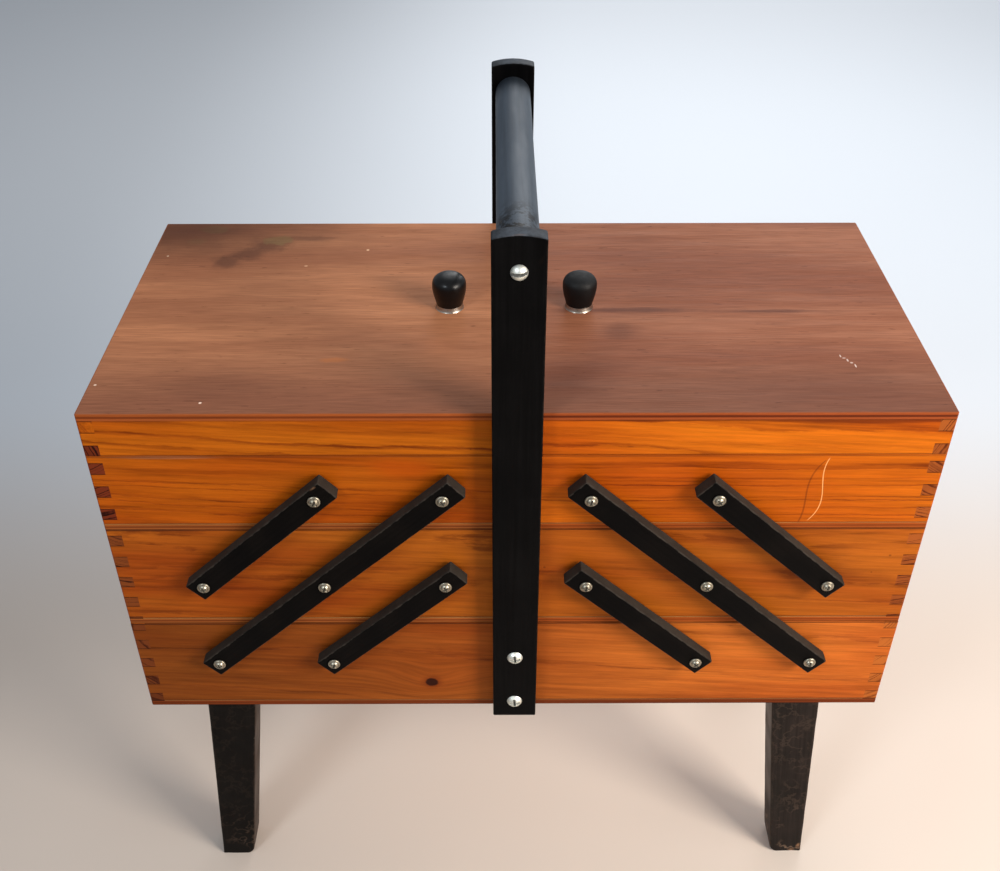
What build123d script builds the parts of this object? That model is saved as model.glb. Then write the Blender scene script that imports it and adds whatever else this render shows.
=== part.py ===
from build123d import *
from dataclasses import dataclass
import math
import os

# Sewing carrier with two lids. All sizes are in millimetres.
# Origin on the floor under the middle of the box, +X to the right, +Y to the back, +Z up.

# ---- Box, trays and lids
body_width = 430.0  # left to right, over the end boards
body_depth = 204.0  # front to back, over the base boards
board_thickness = 8.0
floor_thickness = 3.6  # thin plywood under the base and under each tray
base_height = 68.4  # with its floor
mid_tray_height = 69.2  # with its floor
top_tray_height = 48.4  # with its floor
lid_height = 25.6  # with its panel
lid_panel_thickness = 3.9
tier_gap = 0.3  # between one tier and the next
half_gap = 0.3  # between the left half and the right half
tray_inset = 0.4  # how far the trays and lids stand back from the base's front and back
edge_round = 0.6  # along the top and bottom edges of the boards
corner_round = 1.0  # at the upright corners

# ---- Finger joints
finger_height = 7.5
finger_gap = 0.1  # glue line above and below a pin
thinnest_finger = 1.0
base_first_pin = -2.2  # from a frame's upper edge down to its first pin
mid_first_pin = 3.9
top_first_pin = 4.1
lid_first_pin = 0.0

# ---- Legs
leg_height = 159.0
leg_end_inset = 31.7  # from the end of the box to the outer edge of a leg's top
leg_setback = 5.0  # from the front or back of the box to the leg
leg_top_width = 28.8
leg_foot_width = 20.8
leg_splay = 12.9  # how far the outer edge leans out from top to foot
leg_depth = 21.5
leg_edge_round = 1.0
leg_foot_round = 5.0  # at the inner corner of the foot

# ---- Handle
post_width = 24.8
post_thickness = 9.0
post_rise = 100.5  # above the lids
post_arch = 2.0  # how far the top edge is arched
post_edge_round = 0.8
post_low_screw_height = 13.0  # above the bottom of the box
post_high_screw_height = 49.7
bar_diameter = 20.3
bar_drop = 18.0  # from the top of the posts to the middle of the bar

# ---- Folding arms
inner_pivot_x = 37.5  # of the pivots nearest the middle of the box
pivot_end_margin = 48.5  # from the end of the box to the outermost pivots
base_pivot_drop = 22.9  # below the rim of the base
top_pivot_height = 26.9  # above the underside of the top trays
arm_width = 13.5
arm_thickness = 7.8
arm_standoff = 1.2  # between the base's face and the arms
arm_low_overhang = 7.0  # beyond the lowest pivot
arm_high_overhang = 10.0  # beyond the highest pivot
arm_corner_round = 1.0
arm_edge_round = 0.6

# ---- Knobs
knob_x = 35.8
knob_neck_radius = 7.3
knob_belly_radius = 9.4
knob_belly_height = 11.0  # above the collar
knob_height = 17.8  # above the collar
knob_collar_height = 2.5
knob_collar_foot_radius = 8.0
knob_collar_top_radius = 7.3

# ---- Hinges of the lids
hinge_y = 58.0  # from the middle of the box to the middle of a hinge
hinge_length = 35.0
hinge_leaf_height = 12.0  # from the axis
hinge_leaf_thickness = 1.0
hinge_knuckle_radius = 2.0
hinge_pin_radius = 1.0
hinge_screw_spacing = 22.0
hinge_screw_height = 7.4  # from the axis

# ---- Screws
pivot_shank_radius = 1.9
pivot_head_radius = 2.7
pivot_head_height = 2.1
washer_radius = 3.4
washer_thickness = 0.6
spacer_radius = 5.2
post_screw_head_radius = 4.4
post_screw_head_height = 2.8
bar_screw_head_radius = 4.0
bar_screw_head_height = 2.4
wood_screw_shank_radius = 2.1
wall_screw_depth = 6.5  # how deep a screw goes into a board
bar_screw_depth = 24.0  # into the end of the bar
leg_screw_depth = 22.0  # into the top of a leg
leg_screw_sink_share = 0.6  # depth of a leg screw's head as a share of the floor's thickness
leg_screw_step = 4.5  # to the front and to the back of a leg's middle
hinge_screw_shank_radius = 1.1
hinge_screw_sink_share = 0.8  # depth of a hinge screw's head as a share of the leaf's thickness
knob_screw_shank_radius = 1.5
knob_screw_head_radius = 3.0
knob_screw_head_height = 1.8
knob_screw_depth = 11.0  # into the knob
drive_depth_share = 0.6  # depth of a slot or cross as a share of the head's height
cross_span_share = 1.25  # length of a cross as a share of the head's radius
cross_width = 0.9
slot_width = 1.1
flat_slot_share = 0.28  # width of a countersunk screw's slot as a share of the head's radius
screw_turn = 37.0  # degrees by which each screw's slot or cross is turned past the last one

# ---- Clearances
running_clearance = 0.08  # around a shank or pin that something turns on
side_clearance = 0.2  # beside an arm that turns
pilot_clearance = 0.05  # around a screw that stays put
loose_fit = 0.1  # between a screw's own washer and its shank or head
knuckle_gap = 0.3

# ---- Heights and places worked out from the sizes above
half_width = body_width / 2
base_half_depth = body_depth / 2
tray_half_depth = base_half_depth - tray_inset

base_low = leg_height
base_high = base_low + base_height
mid_low = base_high + tier_gap
mid_high = mid_low + mid_tray_height
top_low = mid_high + tier_gap
top_high = top_low + top_tray_height
lid_low = top_high + tier_gap
lid_high = lid_low + lid_height
post_high = lid_high + post_rise
bar_z = post_high - bar_drop
hinge_z = top_high + tier_gap / 2

# The arms stay parallel, so each row of pivots is level and the rows are equally spaced.
arm_run = (half_width - pivot_end_margin - inner_pivot_x) / 2
outer_pivot_x = inner_pivot_x + 2 * arm_run
middle_pivot_x = inner_pivot_x + arm_run
base_pivot_z = base_high - base_pivot_drop
top_pivot_z = top_low + top_pivot_height
mid_pivot_z = (base_pivot_z + top_pivot_z) / 2

arm_inner_y = base_half_depth + arm_standoff
arm_outer_y = arm_inner_y + arm_thickness
post_outer_y = base_half_depth + post_thickness

# A countersunk head at 90 degrees is as deep as it is wider than its shank.
leg_screw_head_radius = wood_screw_shank_radius + leg_screw_sink_share * floor_thickness
hinge_screw_head_radius = hinge_screw_shank_radius + hinge_screw_sink_share * hinge_leaf_thickness
hinge_screw_length = hinge_leaf_thickness + wall_screw_depth
post_screw_heights = [base_low + post_low_screw_height, base_low + post_high_screw_height]

# The leaf is flat on the end face, and the knuckle stands clear of that face.
hinge_x = half_width + hinge_knuckle_radius + knuckle_gap

FRONT, BACK = -1, 1
LEFT, RIGHT = -1, 1
SIDE_NAMES = {LEFT: "left", RIGHT: "right"}
FACE_NAMES = {FRONT: "front", BACK: "back"}
SLOT, CROSS = "slot", "cross"


@dataclass(frozen=True)
class Frame:
    """Four finger-jointed boards seen as a box: the base, a half tray or a half lid."""

    x_low: float
    x_high: float
    half_depth: float
    z_low: float
    z_high: float
    first_pin: float

    @property
    def length(self):
        return self.x_high - self.x_low

    @property
    def height(self):
        return self.z_high - self.z_low

    @property
    def x_mid(self):
        return (self.x_low + self.x_high) / 2

    @property
    def z_mid(self):
        return (self.z_low + self.z_high) / 2

    def pin_bands(self):
        """Heights, from the top down, at which the end boards' pins pass through."""
        bands = []
        pin_top = self.z_high - self.first_pin
        while pin_top > self.z_low + thinnest_finger:
            pin_low = max(pin_top - finger_height, self.z_low)
            if pin_low < self.z_low + thinnest_finger:
                pin_low = self.z_low
            bands.append((pin_low, min(pin_top, self.z_high)))
            pin_top -= 2 * finger_height
        return bands

    def finger_bands(self):
        """Heights between the pins, at which the long boards' fingers reach the corner."""
        edges = [self.z_high]
        for pin_low, pin_high in self.pin_bands():
            edges += [pin_high, pin_low]
        edges.append(self.z_low)
        pairs = zip(edges[1::2], edges[0::2])
        return [(low, high) for low, high in pairs if high > low]


def half_frame(side, z_low, z_high, first_pin):
    """Frame of a tray or lid that covers the left or the right half of the box."""
    x_low, x_high = sorted((side * half_gap / 2, side * half_width))
    return Frame(x_low, x_high, tray_half_depth, z_low, z_high, first_pin)


def outward(x, y, z, face):
    """Plane at a point of the front or back, with its normal pointing away from the box."""
    return Plane(origin=(x, y, z), z_dir=(0, face, 0))


def endward(x, y, z, side):
    """Plane at a point of an end face, with its normal pointing away from the box."""
    return Plane(origin=(x, y, z), z_dir=(side, 0, 0))


def upright(x, z):
    """Plane that stands along the middle of the box, for a turned profile at a point of it."""
    return Plane(origin=(x, 0, z), x_dir=(1, 0, 0), z_dir=(0, -1, 0))


def keep(piece, name):
    """Label a finished piece and write it to its own file."""
    piece.part.label = name
    export_step(piece.part, f"parts/{name}.step")


# ---- Boards, floors and panels


def long_board(frame, face, pilots):
    """Front or back board, notched at both ends for the end boards' pins.

    pilots gives the (x, z) places of its screws for each shank radius.
    """
    y_mid = face * (frame.half_depth - board_thickness / 2)
    with BuildPart() as board:
        with BuildSketch(Plane.YZ.offset(frame.x_low)) as profile:
            with Locations((y_mid, frame.z_mid)):
                Rectangle(board_thickness, frame.height)
            outer_corners = profile.vertices().group_by(Axis.X)[-1 if face == BACK else 0]
            fillet(outer_corners, edge_round)
        extrude(amount=frame.length)
        with BuildSketch(Plane.XZ.offset(-y_mid)):
            for x in (frame.x_low, frame.x_high):
                for low, high in frame.pin_bands():
                    with Locations((x, (low + high) / 2)):
                        Rectangle(2 * board_thickness, high - low + 2 * finger_gap)
        extrude(amount=board_thickness, both=True, mode=Mode.SUBTRACT)
        with BuildSketch(Plane.XY.offset(frame.z_low)):
            with Locations((frame.x_mid, 0)):
                RectangleRounded(frame.length, 2 * frame.half_depth, corner_round)
        extrude(amount=frame.height, mode=Mode.INTERSECT)
        for radius, places in pilots.items():
            with Locations(*[outward(x, face * frame.half_depth, z, face) for x, z in places]):
                Hole(radius + pilot_clearance, wall_screw_depth + loose_fit)
    return board


def end_board(frame, side, hinge_holes):
    """Board at the frame's left or right end, with pins that reach the front and back."""
    x_outer = frame.x_high if side == RIGHT else frame.x_low
    x_mid = x_outer - side * board_thickness / 2
    with BuildPart() as board:
        with BuildSketch(Plane.XZ.offset(frame.half_depth)) as profile:
            with Locations((x_mid, frame.z_mid)):
                Rectangle(board_thickness, frame.height)
            outer_corners = profile.vertices().group_by(Axis.X)[-1 if side == RIGHT else 0]
            fillet(outer_corners, edge_round)
        extrude(amount=-2 * frame.half_depth)
        with BuildSketch(Plane.YZ.offset(x_mid)):
            for y in (-frame.half_depth, frame.half_depth):
                for low, high in frame.finger_bands():
                    with Locations((y, (low + high) / 2)):
                        Rectangle(2 * board_thickness, high - low)
        extrude(amount=board_thickness, both=True, mode=Mode.SUBTRACT)
        with BuildSketch(Plane.XY.offset(frame.z_low)):
            with Locations((frame.x_mid, 0)):
                RectangleRounded(frame.length, 2 * frame.half_depth, corner_round)
        extrude(amount=frame.height, mode=Mode.INTERSECT)
        if hinge_holes:
            with Locations(*[endward(x_outer, y, z, side) for y, z in hinge_holes]):
                Hole(hinge_screw_shank_radius + pilot_clearance, wall_screw_depth + loose_fit)
    return board


def sheet_plate(frame, z_low, thickness):
    """Plywood plate with the frame's outline: a floor under it or a panel on it."""
    with BuildPart() as plate:
        with BuildSketch(Plane.XY.offset(z_low)):
            with Locations((frame.x_mid, 0)):
                RectangleRounded(frame.length, 2 * frame.half_depth, corner_round)
        extrude(amount=thickness)
    return plate


def leg_screw_places(side, face):
    """The (x, y) places of the two screws that go down into one leg."""
    leg_x = half_width - leg_end_inset - leg_top_width / 2
    leg_y = base_half_depth - leg_setback - leg_depth / 2
    return [(side * leg_x, face * leg_y + step) for step in (-leg_screw_step, leg_screw_step)]


def on_sides(places, sides):
    """The (x, z) places of the right half, on each of the given sides."""
    return [(side * x, z) for side in sides for x, z in places]


# ---- Screws, each made upright with its head's seat at the origin


def round_screw(head_radius, head_height, shank_radius, length, drive):
    """Round-head screw: the head stands on the origin and the shank points down."""
    sphere_radius = (head_radius**2 + head_height**2) / (2 * head_height)
    rim_angle = math.degrees(math.atan2(sphere_radius - head_height, head_radius))
    with BuildPart() as screw:
        with BuildSketch(Plane.XZ):
            with BuildLine():
                Line((0, 0), (head_radius, 0))
                CenterArc((0, head_height - sphere_radius), sphere_radius, rim_angle, 90 - rim_angle)
                Line((0, head_height), (0, 0))
            make_face()
        revolve(axis=Axis.Z)
        with BuildSketch():
            Circle(shank_radius)
        extrude(amount=-length)
        drive_depth = drive_depth_share * head_height
        with BuildSketch(Plane.XY.offset(head_height - drive_depth)):
            if drive == SLOT:
                Rectangle(2 * head_radius, slot_width)
            else:
                Rectangle(cross_span_share * head_radius, cross_width)
                Rectangle(cross_width, cross_span_share * head_radius)
        extrude(amount=drive_depth, mode=Mode.SUBTRACT)
    return screw


def flat_screw(head_radius, shank_radius, length):
    """Countersunk slotted screw with the top of its head at the origin."""
    head_height = head_radius - shank_radius
    with BuildPart() as screw:
        with BuildSketch(Plane.XZ):
            with BuildLine():
                Polyline(
                    (0, 0),
                    (head_radius, 0),
                    (shank_radius, -head_height),
                    (shank_radius, -length),
                    (0, -length),
                    close=True,
                )
            make_face()
        revolve(axis=Axis.Z)
        with BuildSketch():
            Rectangle(2 * head_radius, flat_slot_share * head_radius)
        extrude(amount=-drive_depth_share * head_height, mode=Mode.SUBTRACT)
    return screw


def pivot_screw(stand_back):
    """Pivot screw with a spacer and a washer, on a wall that far behind the base's face."""
    arm_inner = arm_standoff + stand_back
    washer_seat = arm_inner + arm_thickness + side_clearance
    head_seat = washer_seat + washer_thickness + pilot_clearance
    length = head_seat + wall_screw_depth
    screw = round_screw(pivot_head_radius, pivot_head_height, pivot_shank_radius, length, CROSS)
    with BuildPart() as fastener:
        with Locations((0, 0, head_seat)):
            add(screw.part)
        with BuildSketch():
            Circle(spacer_radius)
            Circle(pivot_shank_radius + loose_fit, mode=Mode.SUBTRACT)
        extrude(amount=arm_inner - side_clearance)
        with BuildSketch(Plane.XY.offset(washer_seat)):
            Circle(washer_radius)
            Circle(pivot_shank_radius + loose_fit, mode=Mode.SUBTRACT)
        extrude(amount=washer_thickness)
    return fastener


def screw_group(screw, planes):
    """Copies of a screw, each turned a little further than the one before."""
    turned = [
        plane.location * Location((0, 0, 0), (0, 0, index * screw_turn))
        for index, plane in enumerate(planes)
    ]
    with BuildPart() as group:
        with Locations(*turned):
            add(screw.part)
    return group


def wall_planes(places, half_depth):
    """Planes on the front and back walls at the given (x, z) places."""
    return [outward(x, face * half_depth, z, face) for x, z in places for face in (FRONT, BACK)]


# ---- Legs, handle and arms


def leg(side, face):
    """Tapered leg whose outer edge leans outwards, flush under the base floor."""
    top_outer = half_width - leg_end_inset
    foot_outer = top_outer + leg_splay
    y_outer = base_half_depth - leg_setback
    with BuildPart() as piece:
        with BuildSketch(Plane.XZ.offset(-face * y_outer)) as outline:
            with BuildLine():
                Polyline(
                    (side * (top_outer - leg_top_width), leg_height),
                    (side * top_outer, leg_height),
                    (side * foot_outer, 0),
                    (side * (foot_outer - leg_foot_width), 0),
                    close=True,
                )
            make_face()
            foot_corners = outline.vertices().group_by(Axis.Y)[0].sort_by(Axis.X)
            fillet(foot_corners[0 if side == RIGHT else -1], leg_foot_round)
        extrude(amount=face * leg_depth)
        long_edges = piece.edges().filter_by(lambda edge: edge.length > leg_height / 2)
        fillet(long_edges, leg_edge_round)
        with Locations(*[(x, y, leg_height) for x, y in leg_screw_places(side, face)]):
            Hole(wood_screw_shank_radius + pilot_clearance, leg_screw_depth + loose_fit)
    return piece


def post(face):
    """Upright of the handle, flat against the base, with an arched top edge."""
    half = post_width / 2
    shoulder = post_high - post_arch
    wall = Plane(origin=(0, face * base_half_depth, 0), x_dir=(-face, 0, 0), z_dir=(0, face, 0))
    with BuildPart() as stile:
        with BuildSketch(wall):
            with BuildLine():
                Polyline((-half, shoulder), (-half, base_low), (half, base_low), (half, shoulder))
                ThreePointArc((half, shoulder), (0, post_high), (-half, shoulder))
            make_face()
        extrude(amount=post_thickness)
        outer_face = stile.faces().sort_by(Axis.Y)[0 if face == FRONT else -1]
        fillet(outer_face.edges(), post_edge_round)
        heights = (*post_screw_heights, bar_z)
        with Locations(*[outward(0, face * post_outer_y, z, face) for z in heights]):
            Hole(wood_screw_shank_radius + pilot_clearance, 1.5 * post_thickness)
    return stile


def arm_pair(pivots):
    """One arm on the front and its twin on the back, through pivots given from low to high."""
    (x_low, z_low), (x_high, z_high) = pivots[0], pivots[-1]
    span = math.dist(pivots[0], pivots[-1])
    along = (x_high - x_low, 0, z_high - z_low)
    length = arm_low_overhang + span + arm_high_overhang
    with BuildPart() as arms:
        for face in (FRONT, BACK):
            start = (x_low, face * arm_inner_y, z_low)
            with BuildSketch(Plane(origin=start, x_dir=along, z_dir=(0, face, 0))) as outline:
                with Locations((length / 2 - arm_low_overhang, 0)):
                    Rectangle(length, arm_width)
                fillet(outline.vertices(), arm_corner_round)
            extrude(amount=arm_thickness)
        across = arms.faces().filter_by(Axis.Y).group_by(Axis.Y)
        fillet((across[0] + across[-1]).edges(), arm_edge_round)
        with Locations(*wall_planes(pivots, arm_outer_y)):
            Hole(pivot_shank_radius + running_clearance, 1.5 * arm_thickness)
    return arms


# ---- Knobs and hinges of the lids


def knob(side):
    """Turned knob, widest at its belly, with a domed crown."""
    with BuildPart() as turned:
        with BuildSketch(upright(side * knob_x, lid_high + knob_collar_height)):
            with BuildLine():
                Line((0, 0), (knob_neck_radius, 0))
                Spline(
                    (knob_neck_radius, 0),
                    (knob_belly_radius, knob_belly_height),
                    tangents=((knob_belly_radius - knob_neck_radius, knob_belly_height), (0, 1)),
                )
                Spline(
                    (knob_belly_radius, knob_belly_height),
                    (0, knob_height),
                    tangents=((0, 1), (-1, 0)),
                )
                Line((0, knob_height), (0, 0))
            make_face()
        revolve(axis=Axis((side * knob_x, 0, 0), (0, 0, 1)))
        below = Plane(origin=(side * knob_x, 0, lid_high + knob_collar_height), z_dir=(0, 0, -1))
        with Locations(below):
            Hole(knob_screw_shank_radius + pilot_clearance, knob_screw_depth + loose_fit)
    return turned


def knob_fittings(side):
    """Flared collar under a knob, and the screw that holds both from inside the lid."""
    bore = knob_screw_shank_radius + pilot_clearance
    length = lid_panel_thickness + knob_collar_height + knob_screw_depth
    screw = round_screw(
        knob_screw_head_radius, knob_screw_head_height, knob_screw_shank_radius, length, SLOT
    )
    with BuildPart() as fittings:
        with BuildSketch(upright(side * knob_x, lid_high)):
            with BuildLine():
                Polyline(
                    (bore, 0),
                    (knob_collar_foot_radius, 0),
                    (knob_collar_top_radius, knob_collar_height),
                    (bore, knob_collar_height),
                    close=True,
                )
            make_face()
        revolve(axis=Axis((side * knob_x, 0, 0), (0, 0, 1)))
        under_panel = (side * knob_x, 0, lid_high - lid_panel_thickness)
        with Locations(Plane(origin=under_panel, z_dir=(0, 0, -1))):
            add(screw.part)
    return fittings


def hinge_screw_places(upward):
    """Points (y, z) of the hinge screws above (+1) or below (-1) the hinge line."""
    return [
        (face * hinge_y + step, hinge_z + upward * hinge_screw_height)
        for face in (FRONT, BACK)
        for step in (-hinge_screw_spacing / 2, hinge_screw_spacing / 2)
    ]


def knuckle_spans(upward):
    """Stretches (low, high) along a hinge that belong to the tray's leaf (-1) or the lid's (+1)."""
    third = hinge_length / 3
    half = third / 2 - knuckle_gap / 2
    if upward > 0:
        return [(-half, half)]
    return [(-1.5 * third, -half - knuckle_gap), (half + knuckle_gap, 1.5 * third)]


def hinge_leaves(side, upward):
    """The two leaves screwed to a tray's (-1) or a lid's (+1) end face, with their screws."""
    clear = hinge_knuckle_radius + knuckle_gap
    plate_mid = hinge_z + upward * (clear + hinge_leaf_height) / 2
    screw = flat_screw(hinge_screw_head_radius, hinge_screw_shank_radius, hinge_screw_length)
    with BuildPart() as leaves:
        for face in (FRONT, BACK):
            y_mid = face * hinge_y
            with BuildSketch(Plane.YZ.offset(side * half_width)):
                with Locations((y_mid, plate_mid)):
                    Rectangle(hinge_length, hinge_leaf_height - clear)
                for low, high in knuckle_spans(upward):
                    with Locations((y_mid + (low + high) / 2, hinge_z + upward * clear / 2)):
                        Rectangle(high - low, clear)
            extrude(amount=side * hinge_leaf_thickness)
            for low, high in knuckle_spans(upward):
                with BuildSketch(Plane.XZ.offset(-(y_mid + low))):
                    with Locations((side * hinge_x, hinge_z)):
                        Circle(hinge_knuckle_radius)
                extrude(amount=low - high)
        for face in (FRONT, BACK):
            with BuildSketch(Plane.XZ.offset(-face * hinge_y)):
                with Locations((side * hinge_x, hinge_z)):
                    Circle(hinge_pin_radius + running_clearance)
            extrude(amount=hinge_length, both=True, mode=Mode.SUBTRACT)
        outer_x = side * (half_width + hinge_leaf_thickness)
        planes = [endward(outer_x, y, z, side) for y, z in hinge_screw_places(upward)]
        with Locations(*planes):
            CounterSinkHole(
                hinge_screw_shank_radius + pilot_clearance,
                hinge_screw_head_radius + pilot_clearance,
                2 * hinge_leaf_thickness,
                90,
            )
        with Locations(*planes):
            add(screw.part)
    return leaves


def tray_hinges(side):
    """The tray's hinge leaves together with the pins that stay in them."""
    leaves = hinge_leaves(side, -1)
    with BuildPart() as hinges:
        add(leaves.part)
        for face in (FRONT, BACK):
            with BuildSketch(Plane.XZ.offset(-face * hinge_y)):
                with Locations((side * hinge_x, hinge_z)):
                    Circle(hinge_pin_radius)
            extrude(amount=hinge_length / 2, both=True)
    return hinges


# ---- Pieces, written out one by one

os.makedirs("parts", exist_ok=True)

base_pivots = [(outer_pivot_x, base_pivot_z), (middle_pivot_x, base_pivot_z)]
mid_pivots = [(x, mid_pivot_z) for x in (outer_pivot_x, middle_pivot_x, inner_pivot_x)]
top_pivots = [(middle_pivot_x, top_pivot_z), (inner_pivot_x, top_pivot_z)]

# Base
base_frame = Frame(
    -half_width,
    half_width,
    base_half_depth,
    base_low + floor_thickness,
    base_high,
    base_first_pin,
)
post_screw_places = [(0, z) for z in post_screw_heights]
base_pivot_places = on_sides(base_pivots, (LEFT, RIGHT))
base_pilots = {
    pivot_shank_radius: base_pivot_places,
    wood_screw_shank_radius: post_screw_places,
}
for face, face_name in FACE_NAMES.items():
    keep(long_board(base_frame, face, base_pilots), f"base_{face_name}")
for side, side_name in SIDE_NAMES.items():
    keep(end_board(base_frame, side, []), f"base_{side_name}_end")

leg_screw_tops = [
    (x, y, base_low + floor_thickness)
    for side in (LEFT, RIGHT)
    for face in (FRONT, BACK)
    for x, y in leg_screw_places(side, face)
]
with BuildPart() as base_floor:
    add(sheet_plate(base_frame, base_low, floor_thickness).part)
    with Locations(*leg_screw_tops):
        CounterSinkHole(
            wood_screw_shank_radius + pilot_clearance,
            leg_screw_head_radius + pilot_clearance,
            2 * floor_thickness,
            90,
        )
keep(base_floor, "base_floor")

for side, side_name in SIDE_NAMES.items():
    for face, face_name in FACE_NAMES.items():
        keep(leg(side, face), f"leg_{face_name}_{side_name}")

leg_screw_length = floor_thickness + leg_screw_depth
leg_screw = flat_screw(leg_screw_head_radius, wood_screw_shank_radius, leg_screw_length)
keep(screw_group(leg_screw, [Plane(origin=top) for top in leg_screw_tops]), "leg_screws")

# Handle
for face, face_name in FACE_NAMES.items():
    keep(post(face), f"handle_post_{face_name}")

with BuildPart() as handle_bar:
    with BuildSketch(Plane.XZ.offset(-base_half_depth)):
        with Locations((0, bar_z)):
            Circle(bar_diameter / 2)
    extrude(amount=body_depth)
    for face in (FRONT, BACK):
        with Locations(outward(0, face * base_half_depth, bar_z, face)):
            Hole(wood_screw_shank_radius + pilot_clearance, bar_screw_depth + loose_fit)
keep(handle_bar, "handle_bar")

post_screw = round_screw(
    post_screw_head_radius,
    post_screw_head_height,
    wood_screw_shank_radius,
    post_thickness + wall_screw_depth,
    CROSS,
)
keep(screw_group(post_screw, wall_planes(post_screw_places, post_outer_y)), "post_screws")

bar_screw = round_screw(
    bar_screw_head_radius,
    bar_screw_head_height,
    wood_screw_shank_radius,
    post_thickness + bar_screw_depth,
    SLOT,
)
keep(screw_group(bar_screw, wall_planes([(0, bar_z)], post_outer_y)), "handle_bar_screws")

base_pivot_planes = wall_planes(base_pivot_places, base_half_depth)
keep(screw_group(pivot_screw(0), base_pivot_planes), "base_pivot_screws")

# Trays, lids and arms, first the left half and then the right one
for side, side_name in SIDE_NAMES.items():
    tiers = {
        "mid_tray": (mid_low, mid_high, mid_first_pin, mid_pivots),
        "top_tray": (top_low, top_high, top_first_pin, top_pivots),
    }
    for tier_name, (tier_low, tier_high, first_pin, pivots) in tiers.items():
        name = f"{side_name}_{tier_name}"
        frame = half_frame(side, tier_low + floor_thickness, tier_high, first_pin)
        hinge_holes = hinge_screw_places(-1) if tier_name == "top_tray" else []
        places = on_sides(pivots, (side,))
        for face, face_name in FACE_NAMES.items():
            keep(long_board(frame, face, {pivot_shank_radius: places}), f"{name}_{face_name}")
        keep(end_board(frame, side, hinge_holes), f"{name}_outer_end")
        keep(end_board(frame, -side, []), f"{name}_inner_end")
        keep(sheet_plate(frame, tier_low, floor_thickness), f"{name}_floor")
        planes = wall_planes(places, tray_half_depth)
        keep(screw_group(pivot_screw(tray_inset), planes), f"{name}_pivot_screws")

    lid_frame = half_frame(side, lid_low, lid_high - lid_panel_thickness, lid_first_pin)
    with BuildPart() as long_rails:
        for face in (FRONT, BACK):
            add(long_board(lid_frame, face, {}).part)
    keep(long_rails, f"{side_name}_lid_long_rails")
    with BuildPart() as end_rails:
        add(end_board(lid_frame, side, hinge_screw_places(1)).part)
        add(end_board(lid_frame, -side, []).part)
    keep(end_rails, f"{side_name}_lid_end_rails")
    with BuildPart() as lid_panel:
        add(sheet_plate(lid_frame, lid_high - lid_panel_thickness, lid_panel_thickness).part)
        fillet(lid_panel.faces().sort_by(Axis.Z)[-1].edges(), edge_round)
        with Locations((side * knob_x, 0, lid_high)):
            Hole(knob_screw_shank_radius + pilot_clearance)
    keep(lid_panel, f"{side_name}_lid_panel")

    keep(knob(side), f"{side_name}_knob")
    keep(knob_fittings(side), f"{side_name}_knob_fittings")
    keep(tray_hinges(side), f"{side_name}_tray_hinges")
    keep(hinge_leaves(side, 1), f"{side_name}_lid_hinges")

    arm_pivots = {
        "long_arms": [base_pivots[0], mid_pivots[1], top_pivots[1]],
        "lower_arms": [base_pivots[1], mid_pivots[2]],
        "upper_arms": [mid_pivots[0], top_pivots[0]],
    }
    for arm_name, pivots in arm_pivots.items():
        keep(arm_pair(on_sides(pivots, (side,))), f"{side_name}_{arm_name}")
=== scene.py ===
"""Looks of a sewing carrier with two lids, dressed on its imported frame.

Sizes are in metres in the frame's own axes: +X to the right, +Y to the back, +Z up, floor at z = 0.
"""

import logging
import math
from collections.abc import Callable, Sequence
from dataclasses import dataclass, field, replace
from enum import Enum
from functools import cached_property

import bpy
import numpy as np
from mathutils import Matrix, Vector


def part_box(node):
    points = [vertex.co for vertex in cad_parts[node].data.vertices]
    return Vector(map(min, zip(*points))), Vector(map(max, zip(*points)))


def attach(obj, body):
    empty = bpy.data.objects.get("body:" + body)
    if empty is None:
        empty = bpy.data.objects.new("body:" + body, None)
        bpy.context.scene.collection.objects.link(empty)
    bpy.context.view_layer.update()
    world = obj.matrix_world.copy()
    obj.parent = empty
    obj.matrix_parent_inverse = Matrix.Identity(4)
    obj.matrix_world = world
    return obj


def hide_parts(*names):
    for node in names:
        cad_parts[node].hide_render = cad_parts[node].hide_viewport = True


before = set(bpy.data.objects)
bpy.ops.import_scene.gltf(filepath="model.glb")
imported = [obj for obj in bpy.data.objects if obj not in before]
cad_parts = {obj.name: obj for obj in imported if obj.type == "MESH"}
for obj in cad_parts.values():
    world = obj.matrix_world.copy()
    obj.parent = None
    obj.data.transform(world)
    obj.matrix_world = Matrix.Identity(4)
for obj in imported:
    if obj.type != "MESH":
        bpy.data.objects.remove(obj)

log = logging.getLogger("sewing_carrier")

Colour = tuple[float, float, float]
Point = tuple[float, float, float]
Pair = tuple[float, float]
Socket = bpy.types.NodeSocket
Material = bpy.types.Material

MM = 0.001
ORIGIN: Point = (0.0, 0.0, 0.0)
RIGHTWARD: Point = (1.0, 0.0, 0.0)
UPWARD: Point = (0.0, 0.0, 1.0)
THROUGH = 1.0  # reach of a mark across the whole thickness of its board
TRAY_FRONT_Y = -0.1016
LID_TOP_Z = 0.3715


def shown(red: int, green: int, blue: int) -> Colour:
    """Linear colour of a display colour given as 0 to 255."""
    parts = (np.array([red, green, blue]) / 255.0 + 0.055) / 1.055
    return tuple(float(part) for part in parts**2.4)


# Painted shade, with some dirt, in the gaps at joints and seams.
JOINT_SHADE_AND_DIRT = shown(46, 20, 10)


class Side(Enum):
    """Left or right half, with the sign of its X."""

    LEFT = -1
    RIGHT = 1

    @property
    def word(self) -> str:
        """The half's name in node names."""
        return self.name.lower()


class Face(Enum):
    """Front or back of the box, with the sign of its Y."""

    FRONT = -1
    BACK = 1

    @property
    def word(self) -> str:
        """The face's name in node names."""
        return self.name.lower()


class Grain(Enum):
    """Direction in which a board's fibres run, as the order of its axes: along, across, up."""

    ALONG_X = (0, 1, 2)
    ALONG_Y = (1, 0, 2)


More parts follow.
